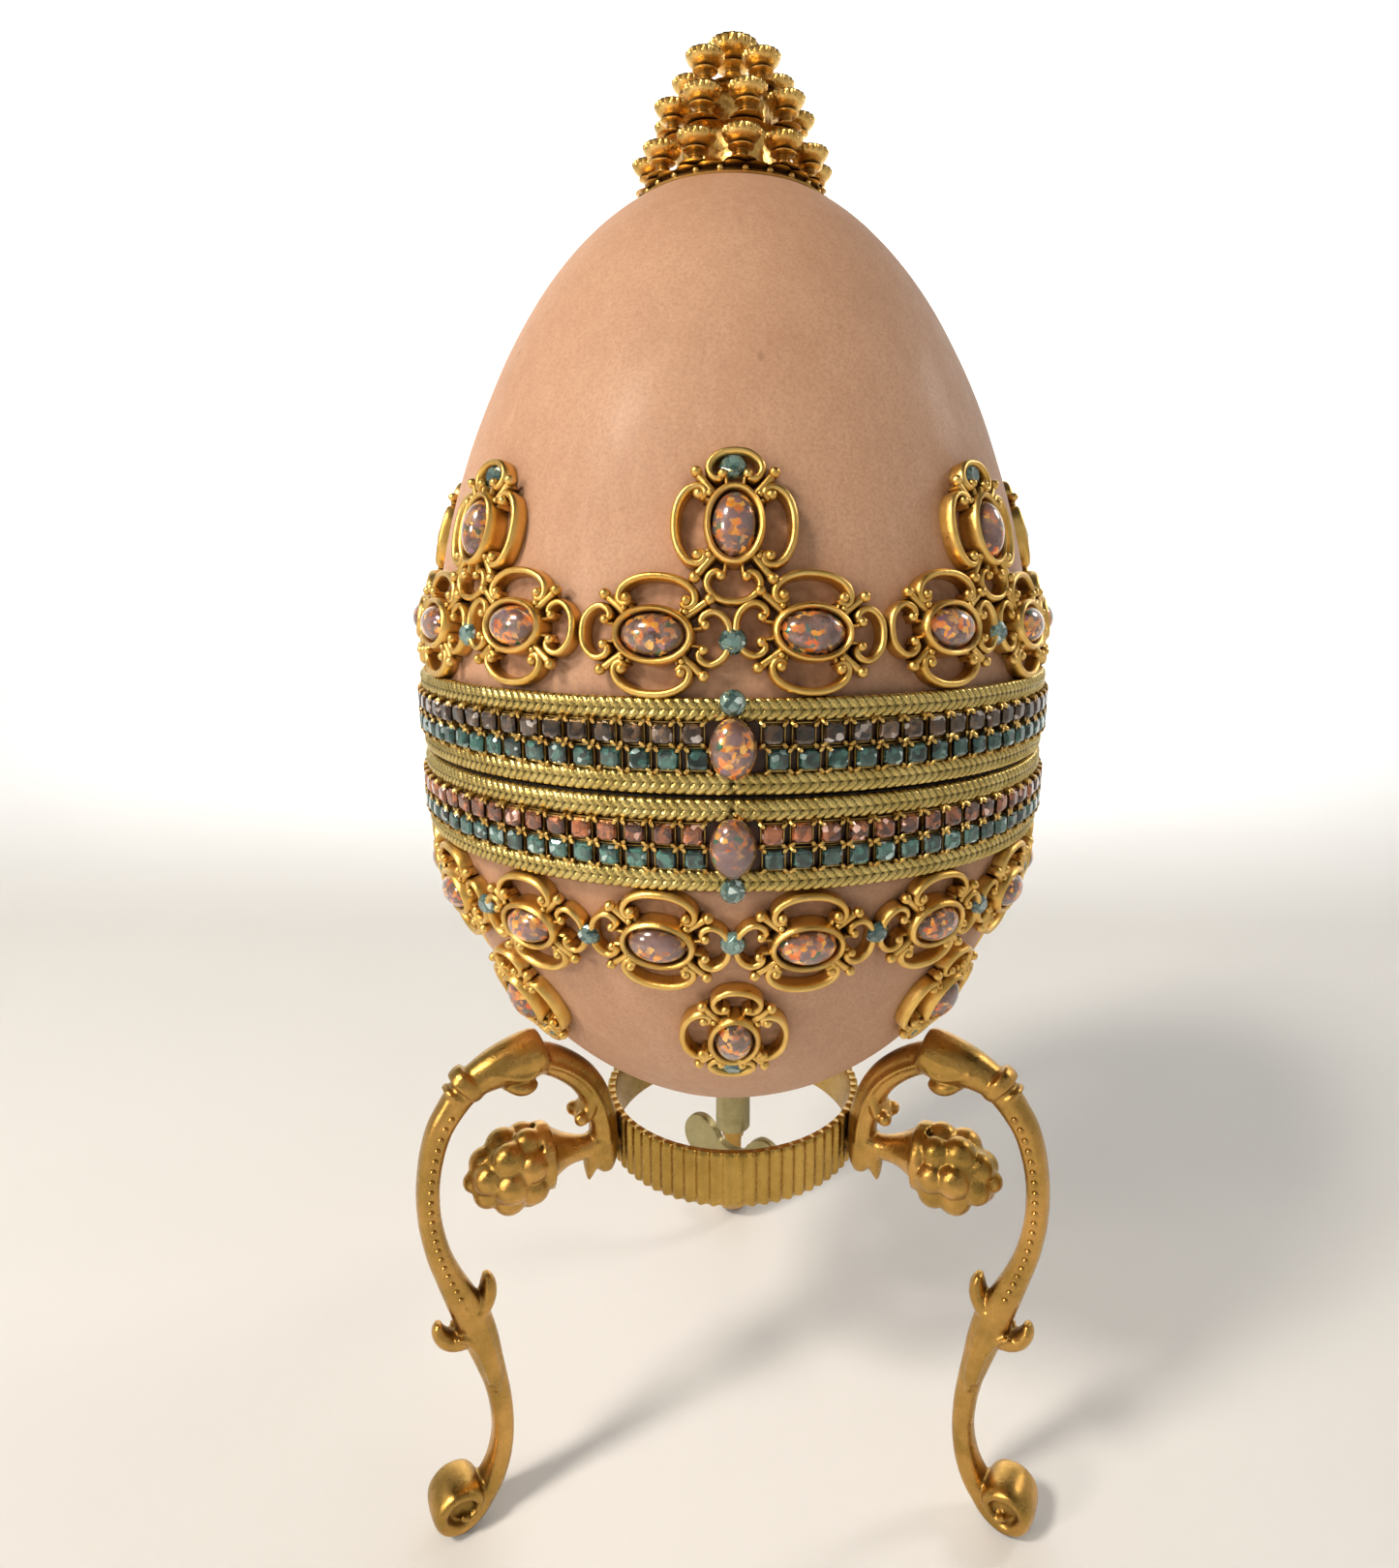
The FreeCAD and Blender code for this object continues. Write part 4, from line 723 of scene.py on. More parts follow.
def make_chains(part, body, finishes, shift):
    sign = 1 if part == "lid" else -1
    cups, bed = Shape(), Shape()
    cup, gem = cup_shape(), square_gem()
    cup_points, gem_points = cup.all_points(), gem.all_points()
    for row, rise in ROWS.items():
        finish, slot = finishes[row]
        stones = Shape()
        for angle in chain_angles():
            wobble = random.normal(0, 0.035, 2)
            middle = sign * rise + wobble[1]
            azimuth = angle + (shift[row] + wobble[0]) / STONE_SEAT
            cup.copy_to(cups, on_band(cup_points, azimuth, middle, CHAIN_SEAT))
            moved = tilted(gem_points + (0, 0, STONE_SEAT - CHAIN_SEAT + STONE_LIFT), 0.07)
            gem.copy_to(stones, on_band(moved, azimuth, middle, CHAIN_SEAT), tone=random.uniform())
        stones.made(f"{part}_{row}_row_stones", finish, body, f"{part}_stones_{row}", smooth=0, slot=slot)
    cups.made(f"{part}_stone_settings", CHAIN, body, f"{part}_chain_cups", slot="chain_gold")
    # A dark strip laid under the stone rows.
    steps = 300
    arc = np.linspace(-(math.pi - GAP_ANGLE), math.pi - GAP_ANGLE, steps)
    section = ((2.25, -0.1), (2.3, 0.22), (7.2, 0.22), (7.25, -0.1))
    strip = [(x * BAND_INNER, sign * y, z) for x in arc for y, z in section]
    ends = [face[:, ::-1] for face in end_faces(steps, 4)]
    bed.add(on_band(np.array(strip), 0.0, 0.0, CHAIN_SEAT), grid(steps, 4, False, True), *ends)
    bed.made(f"{part}_dark_backing", DARK_BACKING, body)


make_chains("lid", "lid", {"far": (SMOKY, "stone_smoky"), "near": (AQUA, "stone_aqua")},
            {"far": 0.0, "near": 0.55})
make_chains("base", "egg_base", {"near": (ROSE, "stone_rose"), "far": (AQUA, "stone_aqua")},
            {"far": 0.15, "near": 0.0})

# ---------------------------------------------------------------- medallions

BEZEL = ((0.0, 0.9), (0.04, 1.75), (0.16, 2.02), (0.36, 2.12),
         (0.55, 2.0), (0.68, 1.7), (0.74, 0.9), (0.78, -0.5))
SIDE_LOOP = ((2.42, 3.05), (2.75, 2.60), (3.25, 2.74), (3.48, 3.3),
             (3.22, 4.1), (2.45, 4.75), (1.3, 5.18), (0.0, 5.3))
END_LOOP = ((1.05, 4.62), (1.45, 4.18), (2.02, 4.4), (2.36, 5.15), (2.05, 5.95), (1.2, 6.62), (0.0, 6.82))
VOLUTE_BALL = (2.72, 3.18, 0.50)
LOOP_BALL = (4.58, 1.10, 0.46)
POST_BALL = (4.78, 3.42, 0.54)
LINK_BALL = (2.75, 2.18, 0.30)
CAB_LONG, CAB_SHORT, CAB_DOME, CAB_SEAT = 3.0, 2.0, 1.9, 1.0


def oval_ring(shape, profile, long_half, short_half, count=48):
    """Turn (offset, height) points about an oval, the offset counted outwards from it."""
    angle = np.linspace(0, 2 * math.pi, count, endpoint=False)
    points = [((long_half + offset) * math.cos(a), (short_half + offset) * math.sin(a), z)
              for offset, z in profile for a in angle]
    return shape.add(points, grid(len(profile), count, False, True))


def medallion_shape():
    """An openwork casting: a bezel, four scrolled loops and four posts, long axis across."""
    shape = Shape()
    oval_ring(shape, BEZEL, CAB_LONG, CAB_SHORT)
    thick, tall = 0.84, 1.62
    for side in (-1, 1):
        loop = smooth_line(mirrored(SIDE_LOOP), 5) * (1, side)
        wire(shape, loop, thick, tall, base=-0.1)
        cap = smooth_line(mirrored(END_LOOP), 5)[:, ::-1] * (side, 1)
        wire(shape, cap, thick * 0.92, tall, base=-0.1)
        for end in (-1, 1):
            ball(shape, (VOLUTE_BALL[0] * side, VOLUTE_BALL[1] * end, 1.25), VOLUTE_BALL[2], (1, 1, 1.15))
            ball(shape, (LOOP_BALL[0] * side, LOOP_BALL[1] * end, 1.3), LOOP_BALL[2], (1, 1, 1.1))
            ball(shape, (POST_BALL[0] * side, POST_BALL[1] * end, 1.2), POST_BALL[2], (1, 1, 1.15))
            ball(shape, (LINK_BALL[0] * side, LINK_BALL[1] * end, 1.45), LINK_BALL[2])
            stem = [(VOLUTE_BALL[0] * side, VOLUTE_BALL[1] * end), (2.2 * side, 2.0 * end)]
            wire(shape, stem, 0.55, 1.2)
            wire(shape, [(2.6 * side, 1.7 * end), (4.5 * side, 3.2 * end)], 0.86, 1.42)
            wire(shape, [(3.5 * side, 0.72 * end), (4.45 * side, 0.85 * end)], 0.42, 1.35)
    return shape


def cab_shape(long_half, short_half, dome_height, seat, around=32, rings=9):
    """A domed oval stone with a short straight girdle, its long axis across."""
    shape = Shape()
    points = [(long_half * math.cos(a) * s, short_half * math.sin(a) * s, z)
              for s, z in [(0.97, seat - 0.6), (1.0, seat)] + [(math.cos(t), seat + dome_height * math.sin(t))
                                                               for t in np.linspace(0.12, 1.45, rings)]
              for a in np.linspace(0, 2 * math.pi, around, endpoint=False)]
    last = (rings + 1) * around
    flat = np.array(points)
    edge = np.hypot(flat[:, 0] / long_half, flat[:, 1] / short_half)
    return shape.add(flat, grid(rings + 2, around, False, True), last + np.arange(around)[None], tone=edge)


def make_medallions(part, body, side_rise, end_rise, stone_down, stone_up, stone_places):
    """Pairs of medallions lying side by side, one standing at each pair, and small stones between them."""
    medal = medallion_shape()
    cab = cab_shape(CAB_LONG, CAB_SHORT, CAB_DOME, CAB_SEAT)
    gem = round_gem(1.25, 0.75)
    sides, ends, cabs, gems = Shape(), Shape(), Shape(), Shape()
    places = [(azimuth, side_rise, 0.0, sides) for azimuth in side_azimuths()]
    places += [(azimuth, end_rise, math.pi / 2, ends) for azimuth in group_azimuths()]
    for azimuth, rise, turn, into in places:
        tip = turn + random.normal(0, 0.035)
        lift = random.uniform(0.0, 0.12)
        middle = rise + random.normal(0, 0.12)
        around = azimuth + random.normal(0, 0.10) / EGG_RADIUS
        medal.copy_to(into, on_egg(medal.all_points(), around, middle, tip, lift))
        cab.copy_to(cabs, on_egg(cab.all_points(), around, middle, tip, lift))
    stones = [(azimuth, side_rise - stone_down, 0.75) for azimuth in stone_places]
    stones += [(azimuth, end_rise + stone_up, 0.35) for azimuth in group_azimuths()]
    for azimuth, rise, lift in stones:
        moved = tilted(gem.all_points(), 0.10)
        middle = rise + random.normal(0, 0.1)
        placed_points = on_egg(moved, azimuth, middle, random.uniform(0, 1), lift + 0.3)
        gem.copy_to(gems, placed_points, tone=random.uniform())
    sides.made(f"{part}_side_castings", MEDAL, body, f"{part}_side_medallions", slot="medal_gold", smooth=50)
    ends.made(f"{part}_end_castings", MEDAL, body, f"{part}_end_medallions", slot="medal_gold", smooth=50)
    cabs.made(f"{part}_opals", OPAL, body, f"{part}_cabochons", slot="opal_glass", smooth=60)
    gems.made(f"{part}_round_stones", PALE_AQUA, body, f"{part}_small_stones", slot="stone_pale_aqua",
              smooth=0)


BETWEEN_GROUPS = [azimuth + 2 * PAIR_ANGLE for azimuth in group_azimuths()]
make_medallions("lid", "lid", LID_SIDE_RISE, LID_TOP_RISE, 0.6, 5.3, group_azimuths())
make_medallions("base", "egg_base", BASE_SIDE_RISE, BASE_LOW_RISE, -0.3, -5.2,
                group_azimuths() + BETWEEN_GROUPS)

CLASP_RISE = 4.7
CLASP_SEAT = 39.65
CLASP_STONE_RISE = 8.95


def make_clasp(part, body, sign):
    cab = cab_shape(2.9, 2.2, 1.9, 0.0)
    points = cab.all_points()[:, [1, 0, 2]] * (-1, 1, 1)
    shape = Shape()
    cab.copy_to(shape, on_band(points, 0.0, sign * CLASP_RISE, CLASP_SEAT))
    shape.made(f"{part}_clasp_opal", OPAL, body, f"{part}_clasp_cabochon", slot="opal_glass", smooth=60)
    gem = round_gem(1.25, 0.75)
    shape = Shape()
    gem.copy_to(shape, on_band(gem.all_points(), 0.0, sign * CLASP_STONE_RISE, 39.35), tone=0.7)
    shape.made(f"{part}_clasp_round_stone", PALE_AQUA, body, f"{part}_clasp_stone", slot="stone_pale_aqua",
               smooth=0)


make_clasp("lid", "lid", 1)
make_clasp("base", "egg_base", -1)

# ---------------------------------------------------------------- the finial

STUD_PROFILE = (
    (0.0, 0.0), (0.80, 0.0), (0.86, 0.05), (0.62, 0.10), (0.32, 0.14), (0.28, 0.22),
    (0.38, 0.27), (0.30, 0.32), (0.34, 0.36), (0.62, 0.39), (0.69, 0.425), (0.62, 0.46),
    (0.50, 0.48), (0.62, 0.52), (0.77, 0.57), (0.89, 0.63), (0.97, 0.70), (1.0, 0.77),
    (1.0, 0.84), (0.94, 0.89), (0.76, 0.935), (0.5, 0.97), (0.2, 0.995), (0.0, 1.0),
)
RIM_RIBS = 18


def stud_shape(head, tall):
    """A little mushroom stud: a foot, a collar and a bowl with a ribbed rim."""
    def ripple(angle, height):
        share = np.exp(-((height / tall - 0.82) / 0.085) ** 4)
        return 1 + share * (0.15 * np.abs(np.sin(angle * RIM_RIBS / 2)) ** 0.8 - 0.10)
    profile = smooth_line(STUD_PROFILE, 2) * (head, tall)
    profile[:, 0] = np.clip(profile[:, 0], 0.004, None)
    return lathe(Shape(), profile, RIM_RIBS * 4, ripple=ripple)


# Each tier's radius, its count of studs and the azimuth of its first stud in degrees.
TIERS = {"finial_studs_low": (9.6, 12, 5), "finial_studs_mid": (7.4, 9, 12),
         "finial_studs_high": (5.3, 5, 36)}
STUD_HEAD = 2.1
CROWN_HEAD = 2.9
PLATE = 0.42
PEG_COUNT = 24


def scalloped(shape, radius, low_side, high_side, lobes, depth, start=0.0):
    """A thin plate with a wavy edge."""
    middle = (low_side + high_side) / 2
    profile = [(0.01, high_side), (radius * 0.8, high_side), (radius * 0.97, high_side - 0.05),
               (radius, middle), (radius * 0.97, low_side + 0.05), (radius * 0.8, low_side), (0.01, low_side)]

    def wave(angle, height):
        return 1 - depth * np.abs(np.sin((angle - start) * lobes / 2)) ** 3 * np.ones_like(height)
    return lathe(shape, profile[::-1], max(96, lobes * 8), ripple=wave)


def make_finial_foot():
    """The plate that the tiers stand on, over a dark recess, with pegs round its underside."""
    foot, top = low("finial_foot")[2], high("finial_foot")[2]
    radius = high("finial_foot")[0]
    shape = Shape()
    scalloped(shape, radius, top - PLATE, top, PEG_COUNT, 0.05)
    recess = egg_radius(foot - SEAM) + 0.02
    profile = [(recess, foot), (recess + 0.12, foot + 0.2),
               (radius - 1.0, top - PLATE - 0.1), (radius - 0.8, top - PLATE)]
    lathe(shape, profile, 96)
    for number in range(PEG_COUNT):
        angle = 2 * math.pi * (number + 0.5) / PEG_COUNT
        reach = radius - 0.75
        centre = (reach * math.cos(angle), reach * math.sin(angle), top - PLATE - 0.3)
        ball(shape, centre, 0.42, (1, 1, 0.9), 10, 6)
    shape.made("finial_scalloped_plate", FINIAL, "lid", "finial_foot", slot="finial_gold", smooth=40)


def make_finial_core(levels):
    """What shows between the studs: a lumpy cast core with a plate under each tier."""
    foot, top = low("finial_core")[2], high("finial_core")[2]
    shape = Shape()
    for (radius, count, first), start, end in zip(TIERS.values(), levels, levels[1:] + [top]):
        behind = radius - STUD_HEAD - 0.35
        waist = (behind * 0.94, (start + end) / 2)
        profile = smooth_line([(behind, max(start - 0.3, foot)), waist, (behind * 0.98, end)], 5)

        def lumpy(angle, height, count=count):
            lumps = 0.06 * np.abs(np.sin(angle * count / 2))
            return 1 - lumps - 0.03 * np.abs(np.sin(angle * count + height * 2.2))
        lathe(shape, profile, 180, ripple=lumpy)
        if start > levels[0]:
            scalloped(shape, radius + 1.0, start - PLATE, start - 0.02, count, 0.10, math.radians(first - 90))
    lid_radius = TIERS["finial_studs_high"][0] - STUD_HEAD
    profile = [(lid_radius, top - 0.25), (lid_radius + 0.15, top - 0.1), (lid_radius, top), (0.01, top)]
    lathe(shape, profile, 48)
    shape.made("finial_cast_core", FINIAL, "lid", "finial_core", slot="finial_gold", smooth=40)


def make_finial():
    for node, (radius, count, first) in TIERS.items():
        foot, top = low(node)[2], high(node)[2]
        stud = stud_shape(STUD_HEAD, top - foot)
        shape = Shape()
        for number in range(count):
            azimuth = math.radians(first - 90 + 360 * number / count)
            lean = random.normal(0, 0.03, 2)
            upright = stud.all_points()
            points = upright + np.outer(upright[:, 2], (*lean, 0))
            centre = (radius * math.cos(azimuth), radius * math.sin(azimuth), foot)
            stud.copy_to(shape, points + centre)
        shape.made(f"{node}_turned", FINIAL, "lid", node, slot="finial_gold", smooth=40)
    foot, top = low("finial_top_stud")[2], high("finial_top_stud")[2]
    crown = stud_shape(CROWN_HEAD, top - foot)
    shape = Shape()
    crown.copy_to(shape, crown.all_points() + (0, 0, foot))
    shape.made("finial_crown", FINIAL, "lid", "finial_top_stud", slot="finial_gold", smooth=40)
    make_finial_foot()
    make_finial_core([low(node)[2] for node in TIERS])


make_finial()

# ---------------------------------------------------------------- stand

FLUTES = 66
RING_OUTER = 18.3
RING_WALL = 1.3
RING_TALL = 7.9
FLUTE_DEPTH = 0.42


def make_ring():
    """A ring with hollow flutes whose ridges are sharp and whose top edge is scalloped."""
    foot, top = low("stand_ring")[2], high("stand_ring")[2]
    count = FLUTES * 10
    angle = np.linspace(0, 2 * math.pi, count, endpoint=False)
    ridge = np.abs(np.cos(angle * FLUTES / 2)) ** 2.2
    rings = []
    for level in (0.0, 0.35, 1.0, 2.0, 6.0, 7.0, 7.55, RING_TALL):
        bevel = 0.25 * (math.exp(-level / 0.25) + math.exp(-(RING_TALL - level) / 0.25))
        height = foot + level * (top - foot) / RING_TALL - (0.28 * (1 - ridge) if level > 7.2 else 0)
        rings.append(circle(angle, RING_OUTER - FLUTE_DEPTH * (1 - ridge) - bevel, height))
    for level in (RING_TALL, 7.6, 4.0, 0.3, 0.0):
        bevel = 0.12 * (math.exp(-level / 0.2) + math.exp(-(RING_TALL - level) / 0.2))
        height = foot + level * (top - foot) / RING_TALL - (0.1 if level > 7.7 else 0)
        rings.append(circle(angle, RING_OUTER - RING_WALL + bevel, height))
    shape = Shape().add(np.vstack(rings), grid(len(rings), count, True, True))
    shape.made("fluted_ring", RING, "stand", "stand_ring", slot="stand_gold", smooth=35)


make_ring()

# A leg in its own upright plane: stations of (reach, height, half width in the plane, half depth).
OUTER_STROKE = (
    (37.6, 65.0, 1.9, 1.9), (38.9, 63.8, 1.85, 1.85), (40.3, 62.1, 1.7, 1.75), (41.7, 60.0, 1.6, 1.7),
    (42.7, 57.4, 1.5, 1.7), (43.4, 54.4, 1.42, 1.65), (43.8, 51.0, 1.4, 1.65), (43.75, 47.0, 1.42, 1.65),
    (43.1, 42.6, 1.5, 1.7), (42.1, 39.0, 1.65, 1.75), (40.9, 35.4, 1.95, 1.85), (39.5, 31.4, 2.3, 1.9),
    (38.5, 27.6, 2.15, 1.85), (37.8, 24.2, 1.85, 1.75), (37.1, 20.6, 1.6, 1.65), (36.6, 16.4, 1.5, 1.6),
    (36.6, 12.0, 1.45, 1.7), (37.4, 7.9, 1.55, 1.9), (39.0, 4.6, 1.6, 2.2), (41.2, 2.2, 1.35, 2.4),
)
FOOT_SPIRAL = (
    (39.0, 4.4, 1.6, 2.0), (41.0, 2.1, 1.4, 2.5), (43.4, 1.35, 1.2, 2.9), (45.4, 2.6, 1.15, 3.1),
    (45.8, 4.8, 1.1, 3.2), (44.3, 6.5, 1.05, 3.2), (42.1, 6.4, 1.0, 3.2), (40.9, 4.9, 0.85, 3.2),
    (41.4, 3.6, 0.7, 3.3), (42.6, 3.1, 0.6, 3.4), (43.5, 3.9, 0.6, 3.5),
)
BELL = (
    (38.0, 64.7, 2.0, 2.0), (36.6, 65.4, 2.2, 2.3), (34.6, 66.1, 2.6, 2.7), (32.4, 66.5, 3.0, 2.95),
    (30.4, 66.8, 3.2, 3.0), (29.0, 67.1, 3.1, 2.9), (28.2, 67.3, 2.7, 2.5),
)
BELL_LOBE = ((33.6, 64.0, 0.8, 1.6), (31.8, 63.1, 1.3, 2.2), (30.4, 62.9, 1.25, 1.9), (29.5, 63.3, 0.7, 1.2))
BELL_RIDGE = ((35.4, 66.6, 0.25), (33.0, 65.6, 0.5), (31.2, 65.2, 0.6), (30.0, 65.6, 0.5), (29.8, 67.0, 0.4))
ARM = (
    (31.5, 66.6, 1.9, 1.9), (28.6, 66.0, 2.0, 1.9), (25.7, 64.2, 2.0, 1.85), (23.2, 61.7, 2.0, 1.85),
    (21.5, 58.6, 1.95, 1.85), (20.6, 55.2, 1.9, 1.9), (20.3, 51.8, 1.85, 1.9), (20.3, 48.6, 1.5, 1.7),
    (20.4, 46.9, 0.9, 1.2),
)
ARM_CURL = ((21.9, 60.2, 0.9, 2.1), (22.4, 57.8, 1.1, 2.2), (23.3, 56.2, 1.1, 2.1), (24.3, 56.3, 0.6, 1.4))
ARM_LEAF = ((21.2, 52.0, 1.6, 1.9), (22.0, 49.6, 1.3, 1.6), (22.5, 47.6, 0.8, 1.0), (22.75, 45.8, 0.15, 0.3))
INNER_LEAF = ((40.2, 30.8, 1.3, 1.6), (38.4, 32.6, 1.35, 1.8), (37.4, 34.4, 1.2, 1.8),
              (37.2, 36.0, 0.95, 1.5), (37.4, 37.2, 0.5, 0.9))
OUTER_LEAF = ((40.4, 28.6, 1.2, 1.5), (41.9, 29.0, 1.25, 1.7), (43.2, 29.9, 1.15, 1.7),
              (43.9, 31.3, 0.9, 1.4), (43.8, 32.5, 0.45, 0.8))
COLLAR = ((37.4, 65.5, 2.45, 2.4), (38.0, 65.1, 2.6, 2.55), (38.7, 64.5, 2.45, 2.4))
COLLAR_RIM = ((39.2, 64.0, 2.1, 2.1), (39.6, 63.6, 2.1, 2.1))
VEINS = (((40.6, 34.6), (39.6, 31.0), (38.6, 27.4), (37.9, 23.6), (37.2, 20.0)),
         ((39.0, 33.0), (38.2, 30.0), (37.6, 27.0), (37.2, 24.0), (36.9, 21.6)),
         ((42.0, 30.4), (40.6, 29.4), (39.4, 27.2), (38.6, 24.4), (38.0, 21.4)))
BUD_STEM = ((21.0, 51.0, 1.7, 1.7), (23.6, 51.2, 1.7, 1.7), (26.0, 51.6, 2.3, 2.3), (28.6, 51.9, 3.9, 3.7))
BUD_COLLAR = ((28.2, 51.9, 4.2, 3.9), (28.5, 51.9, 4.6, 4.2), (29.4, 51.8, 4.6, 4.2), (29.7, 51.8, 4.2, 3.9))
# Rings of lobes on the bud: (reach, ring radius, lobe radius, lobes).
BUD_LOBES = ((31.2, 3.6, 2.1, 7), (33.9, 3.4, 2.3, 6), (36.4, 1.9, 2.1, 4), (38.0, 0.0, 1.5, 1))
BUD_HEIGHT = 51.2
LEG_AZIMUTHS = (90, 210, 330)
VOXEL = 0.25


def limb(shape, stations, square=0.8, sides=18, per_span=5, offset=0.0):
    """A swept arm of a leg, with a rounded-square section and closed ends."""
    line = smooth_line(stations, per_span)
    middle, wide, deep = line[:, :2], line[:, 2], line[:, -1]
    ahead = np.gradient(middle, axis=0)
    ahead /= np.linalg.norm(ahead, axis=1)[:, None]
    side = np.column_stack([-ahead[:, 1], ahead[:, 0]])
    angle = np.linspace(0, 2 * math.pi, sides, endpoint=False)
    a = np.sign(np.cos(angle)) * np.abs(np.cos(angle)) ** square
    b = np.sign(np.sin(angle)) * np.abs(np.sin(angle)) ** square
    flat = middle[:, None] + side[:, None] * (wide[:, None] * a)[:, :, None]
    points = np.stack([flat[..., 0], offset + deep[:, None] * b, flat[..., 1]], -1)
    return shape.add(points, grid(len(line), sides, False, True), *end_faces(len(line), sides))


def melted(shape, voxel, smoothing):
    """The union of a shape's closed parts as one skin, with softened joins."""
    mesh = bpy.data.meshes.new("parts")
    faces = [list(face) for group in shape.faces for face in group]
    mesh.from_pydata((shape.all_points() * MM).tolist(), [], faces)
    item = placed("parts", mesh)
    skin = item.modifiers.new("skin", "REMESH")
    skin.mode = "VOXEL"
    skin.voxel_size = voxel * MM
    soft = item.modifiers.new("soft", "SMOOTH")
    soft.factor = 0.5
    soft.iterations = smoothing
    ready = evaluated(item).to_mesh()
    points = coordinates(ready)
    corners = np.zeros(len(ready.loops), np.int32)
    ready.loops.foreach_get("vertex_index", corners)
    bpy.data.objects.remove(item)
    bpy.data.meshes.remove(mesh)
    return Shape().add(points / MM, corners.reshape(-1, 4))


def leg_shape():
    """A cast leg: a scrolled stroke, a bell and collar, an arm to the ring, leaves and a bud."""
    rough = Shape()
    for stations in (OUTER_STROKE, FOOT_SPIRAL, ARM, ARM_LEAF):
        limb(rough, stations)
    for stations in (BELL, BELL_LOBE, ARM_CURL, INNER_LEAF, OUTER_LEAF, BUD_STEM):
        limb(rough, stations, 1.0)
    limb(rough, BUD_COLLAR, 1.0, per_span=2)
    limb(rough, COLLAR, 0.9, per_span=2)
    limb(rough, COLLAR_RIM, 0.9, per_span=2)
    ball(rough, (42.8, 0, 3.9), 2.8, (1, 0.8, 1), 24, 16)
    ball(rough, (33.6, 0, BUD_HEIGHT), 4.4, (1, 0.9, 1), 24, 16)
    for row, (reach, ring, lobe, count) in enumerate(BUD_LOBES):
        for number in range(count):
            a = 2 * math.pi * (number + 0.5 * row) / count + 0.4
            centre = (reach, 0.88 * ring * math.cos(a), BUD_HEIGHT + ring * math.sin(a))
            ball(rough, centre, lobe, (1, 0.92, 1), 16, 10)
    for flank in (-1, 1):
        ball(rough, (24.0, 1.5 * flank, 56.4), 1.0)
        ridge = [(x, z, thick, thick) for x, z, thick in BELL_RIDGE]
        limb(rough, ridge, 1.0, offset=2.55 * flank)
        limb(rough, [(x, z, 0.35, 0.35) for x, z, _, _ in ARM[1:7]], 1.0, offset=1.95 * flank)
        for vein in VEINS:
            limb(rough, [(x, z, 0.34, 0.4) for x, z in vein], 1.0, offset=1.72 * flank)
    skin = melted(rough, VOXEL, 3)
    line = smooth_line(OUTER_STROKE[2:11], 12)
    along = np.concatenate([[0], np.cumsum(np.linalg.norm(np.diff(line[:, :2], axis=0), axis=1))])
    for place in np.arange(0.5, along[-1], 1.4):
        x, z, wide, deep = (np.interp(place, along, line[:, column]) for column in range(4))
        for flank in (-1, 1):
            ball(skin, (x, flank * (deep - 0.10), z), 0.44, across=10, down=6)
    return skin


def spun(points, degrees):
    c, s = math.cos(math.radians(degrees)), math.sin(math.radians(degrees))
    turned = points.copy()
    turned[:, 0] = points[:, 0] * c - points[:, 1] * s
    turned[:, 1] = points[:, 0] * s + points[:, 1] * c
    return turned


def make_legs():
    """Three copies of one leg, its arm's back pressed flat on the ring and its foot on the floor."""
    leg = leg_shape()
    points = leg.all_points()
    reach = np.hypot(points[:, 0], points[:, 1])
    inside = (reach < RING_OUTER + 0.05) & (points[:, 0] > 0)
    push = np.where(inside, (RING_OUTER + 0.05) / np.maximum(reach, 1), 1.0)
    points[:, :2] *= push[:, None]
    points[:, 2] = np.maximum(points[:, 2], 0.0)
    for number, azimuth in enumerate(LEG_AZIMUTHS, start=1):
        shape = Shape()
        leg.copy_to(shape, spun(points, azimuth))
        shape.made(f"cast_leg_{number}", STAND, "stand", f"stand_leg_{number}", slot="stand_gold", smooth=60)


make_legs()

# ---------------------------------------------------------------- the key's wings

KEY_TURN = -35
# Half of the wings' outline, from the axis outwards and back: (reach, height under the top).
EAR = ((0.0, -6.0), (2.2, -5.4), (3.3, -3.7), (5.2, -2.4), (7.3, -2.9), (8.7, -4.9), (8.5, -7.3), (6.9, -9.0),
       (4.6, -9.4), (2.4, -8.7), (0.0, -8.4))


def make_key_wings():
    """A stamped brass plate with an ear on each side of the hub, its edge rounded over."""
    half = np.array(EAR)
    line = smooth_line(np.vstack([half, half[-2:0:-1] * (-1, 1)]), closed=True)
    top = high("key_wings")[2]
    middle = np.array((0.0, -6.5))
    shape = Shape()
    rings = []
    for share, out in ((0.94, -0.60), (0.985, -0.52), (1.0, -0.3), (1.0, 0.3), (0.985, 0.52), (0.94, 0.60)):
        flat = middle + (line - middle) * share
        rings.append(np.column_stack([flat[:, 0], np.full(len(flat), out), top + flat[:, 1]]))
    points = spun(np.vstack(rings), KEY_TURN)
    count = len(line)
    shape.add(points, grid(len(rings), count, False, True), *end_faces(len(rings), count))
    shape.made("winding_key_ears", KEY, "winding_key", "key_wings", slot="key_brass", smooth=40)


make_key_wings()

# ---------------------------------------------------------------- velvet inside

LINING_OUT = 1.9
LINING_IN = 2.9


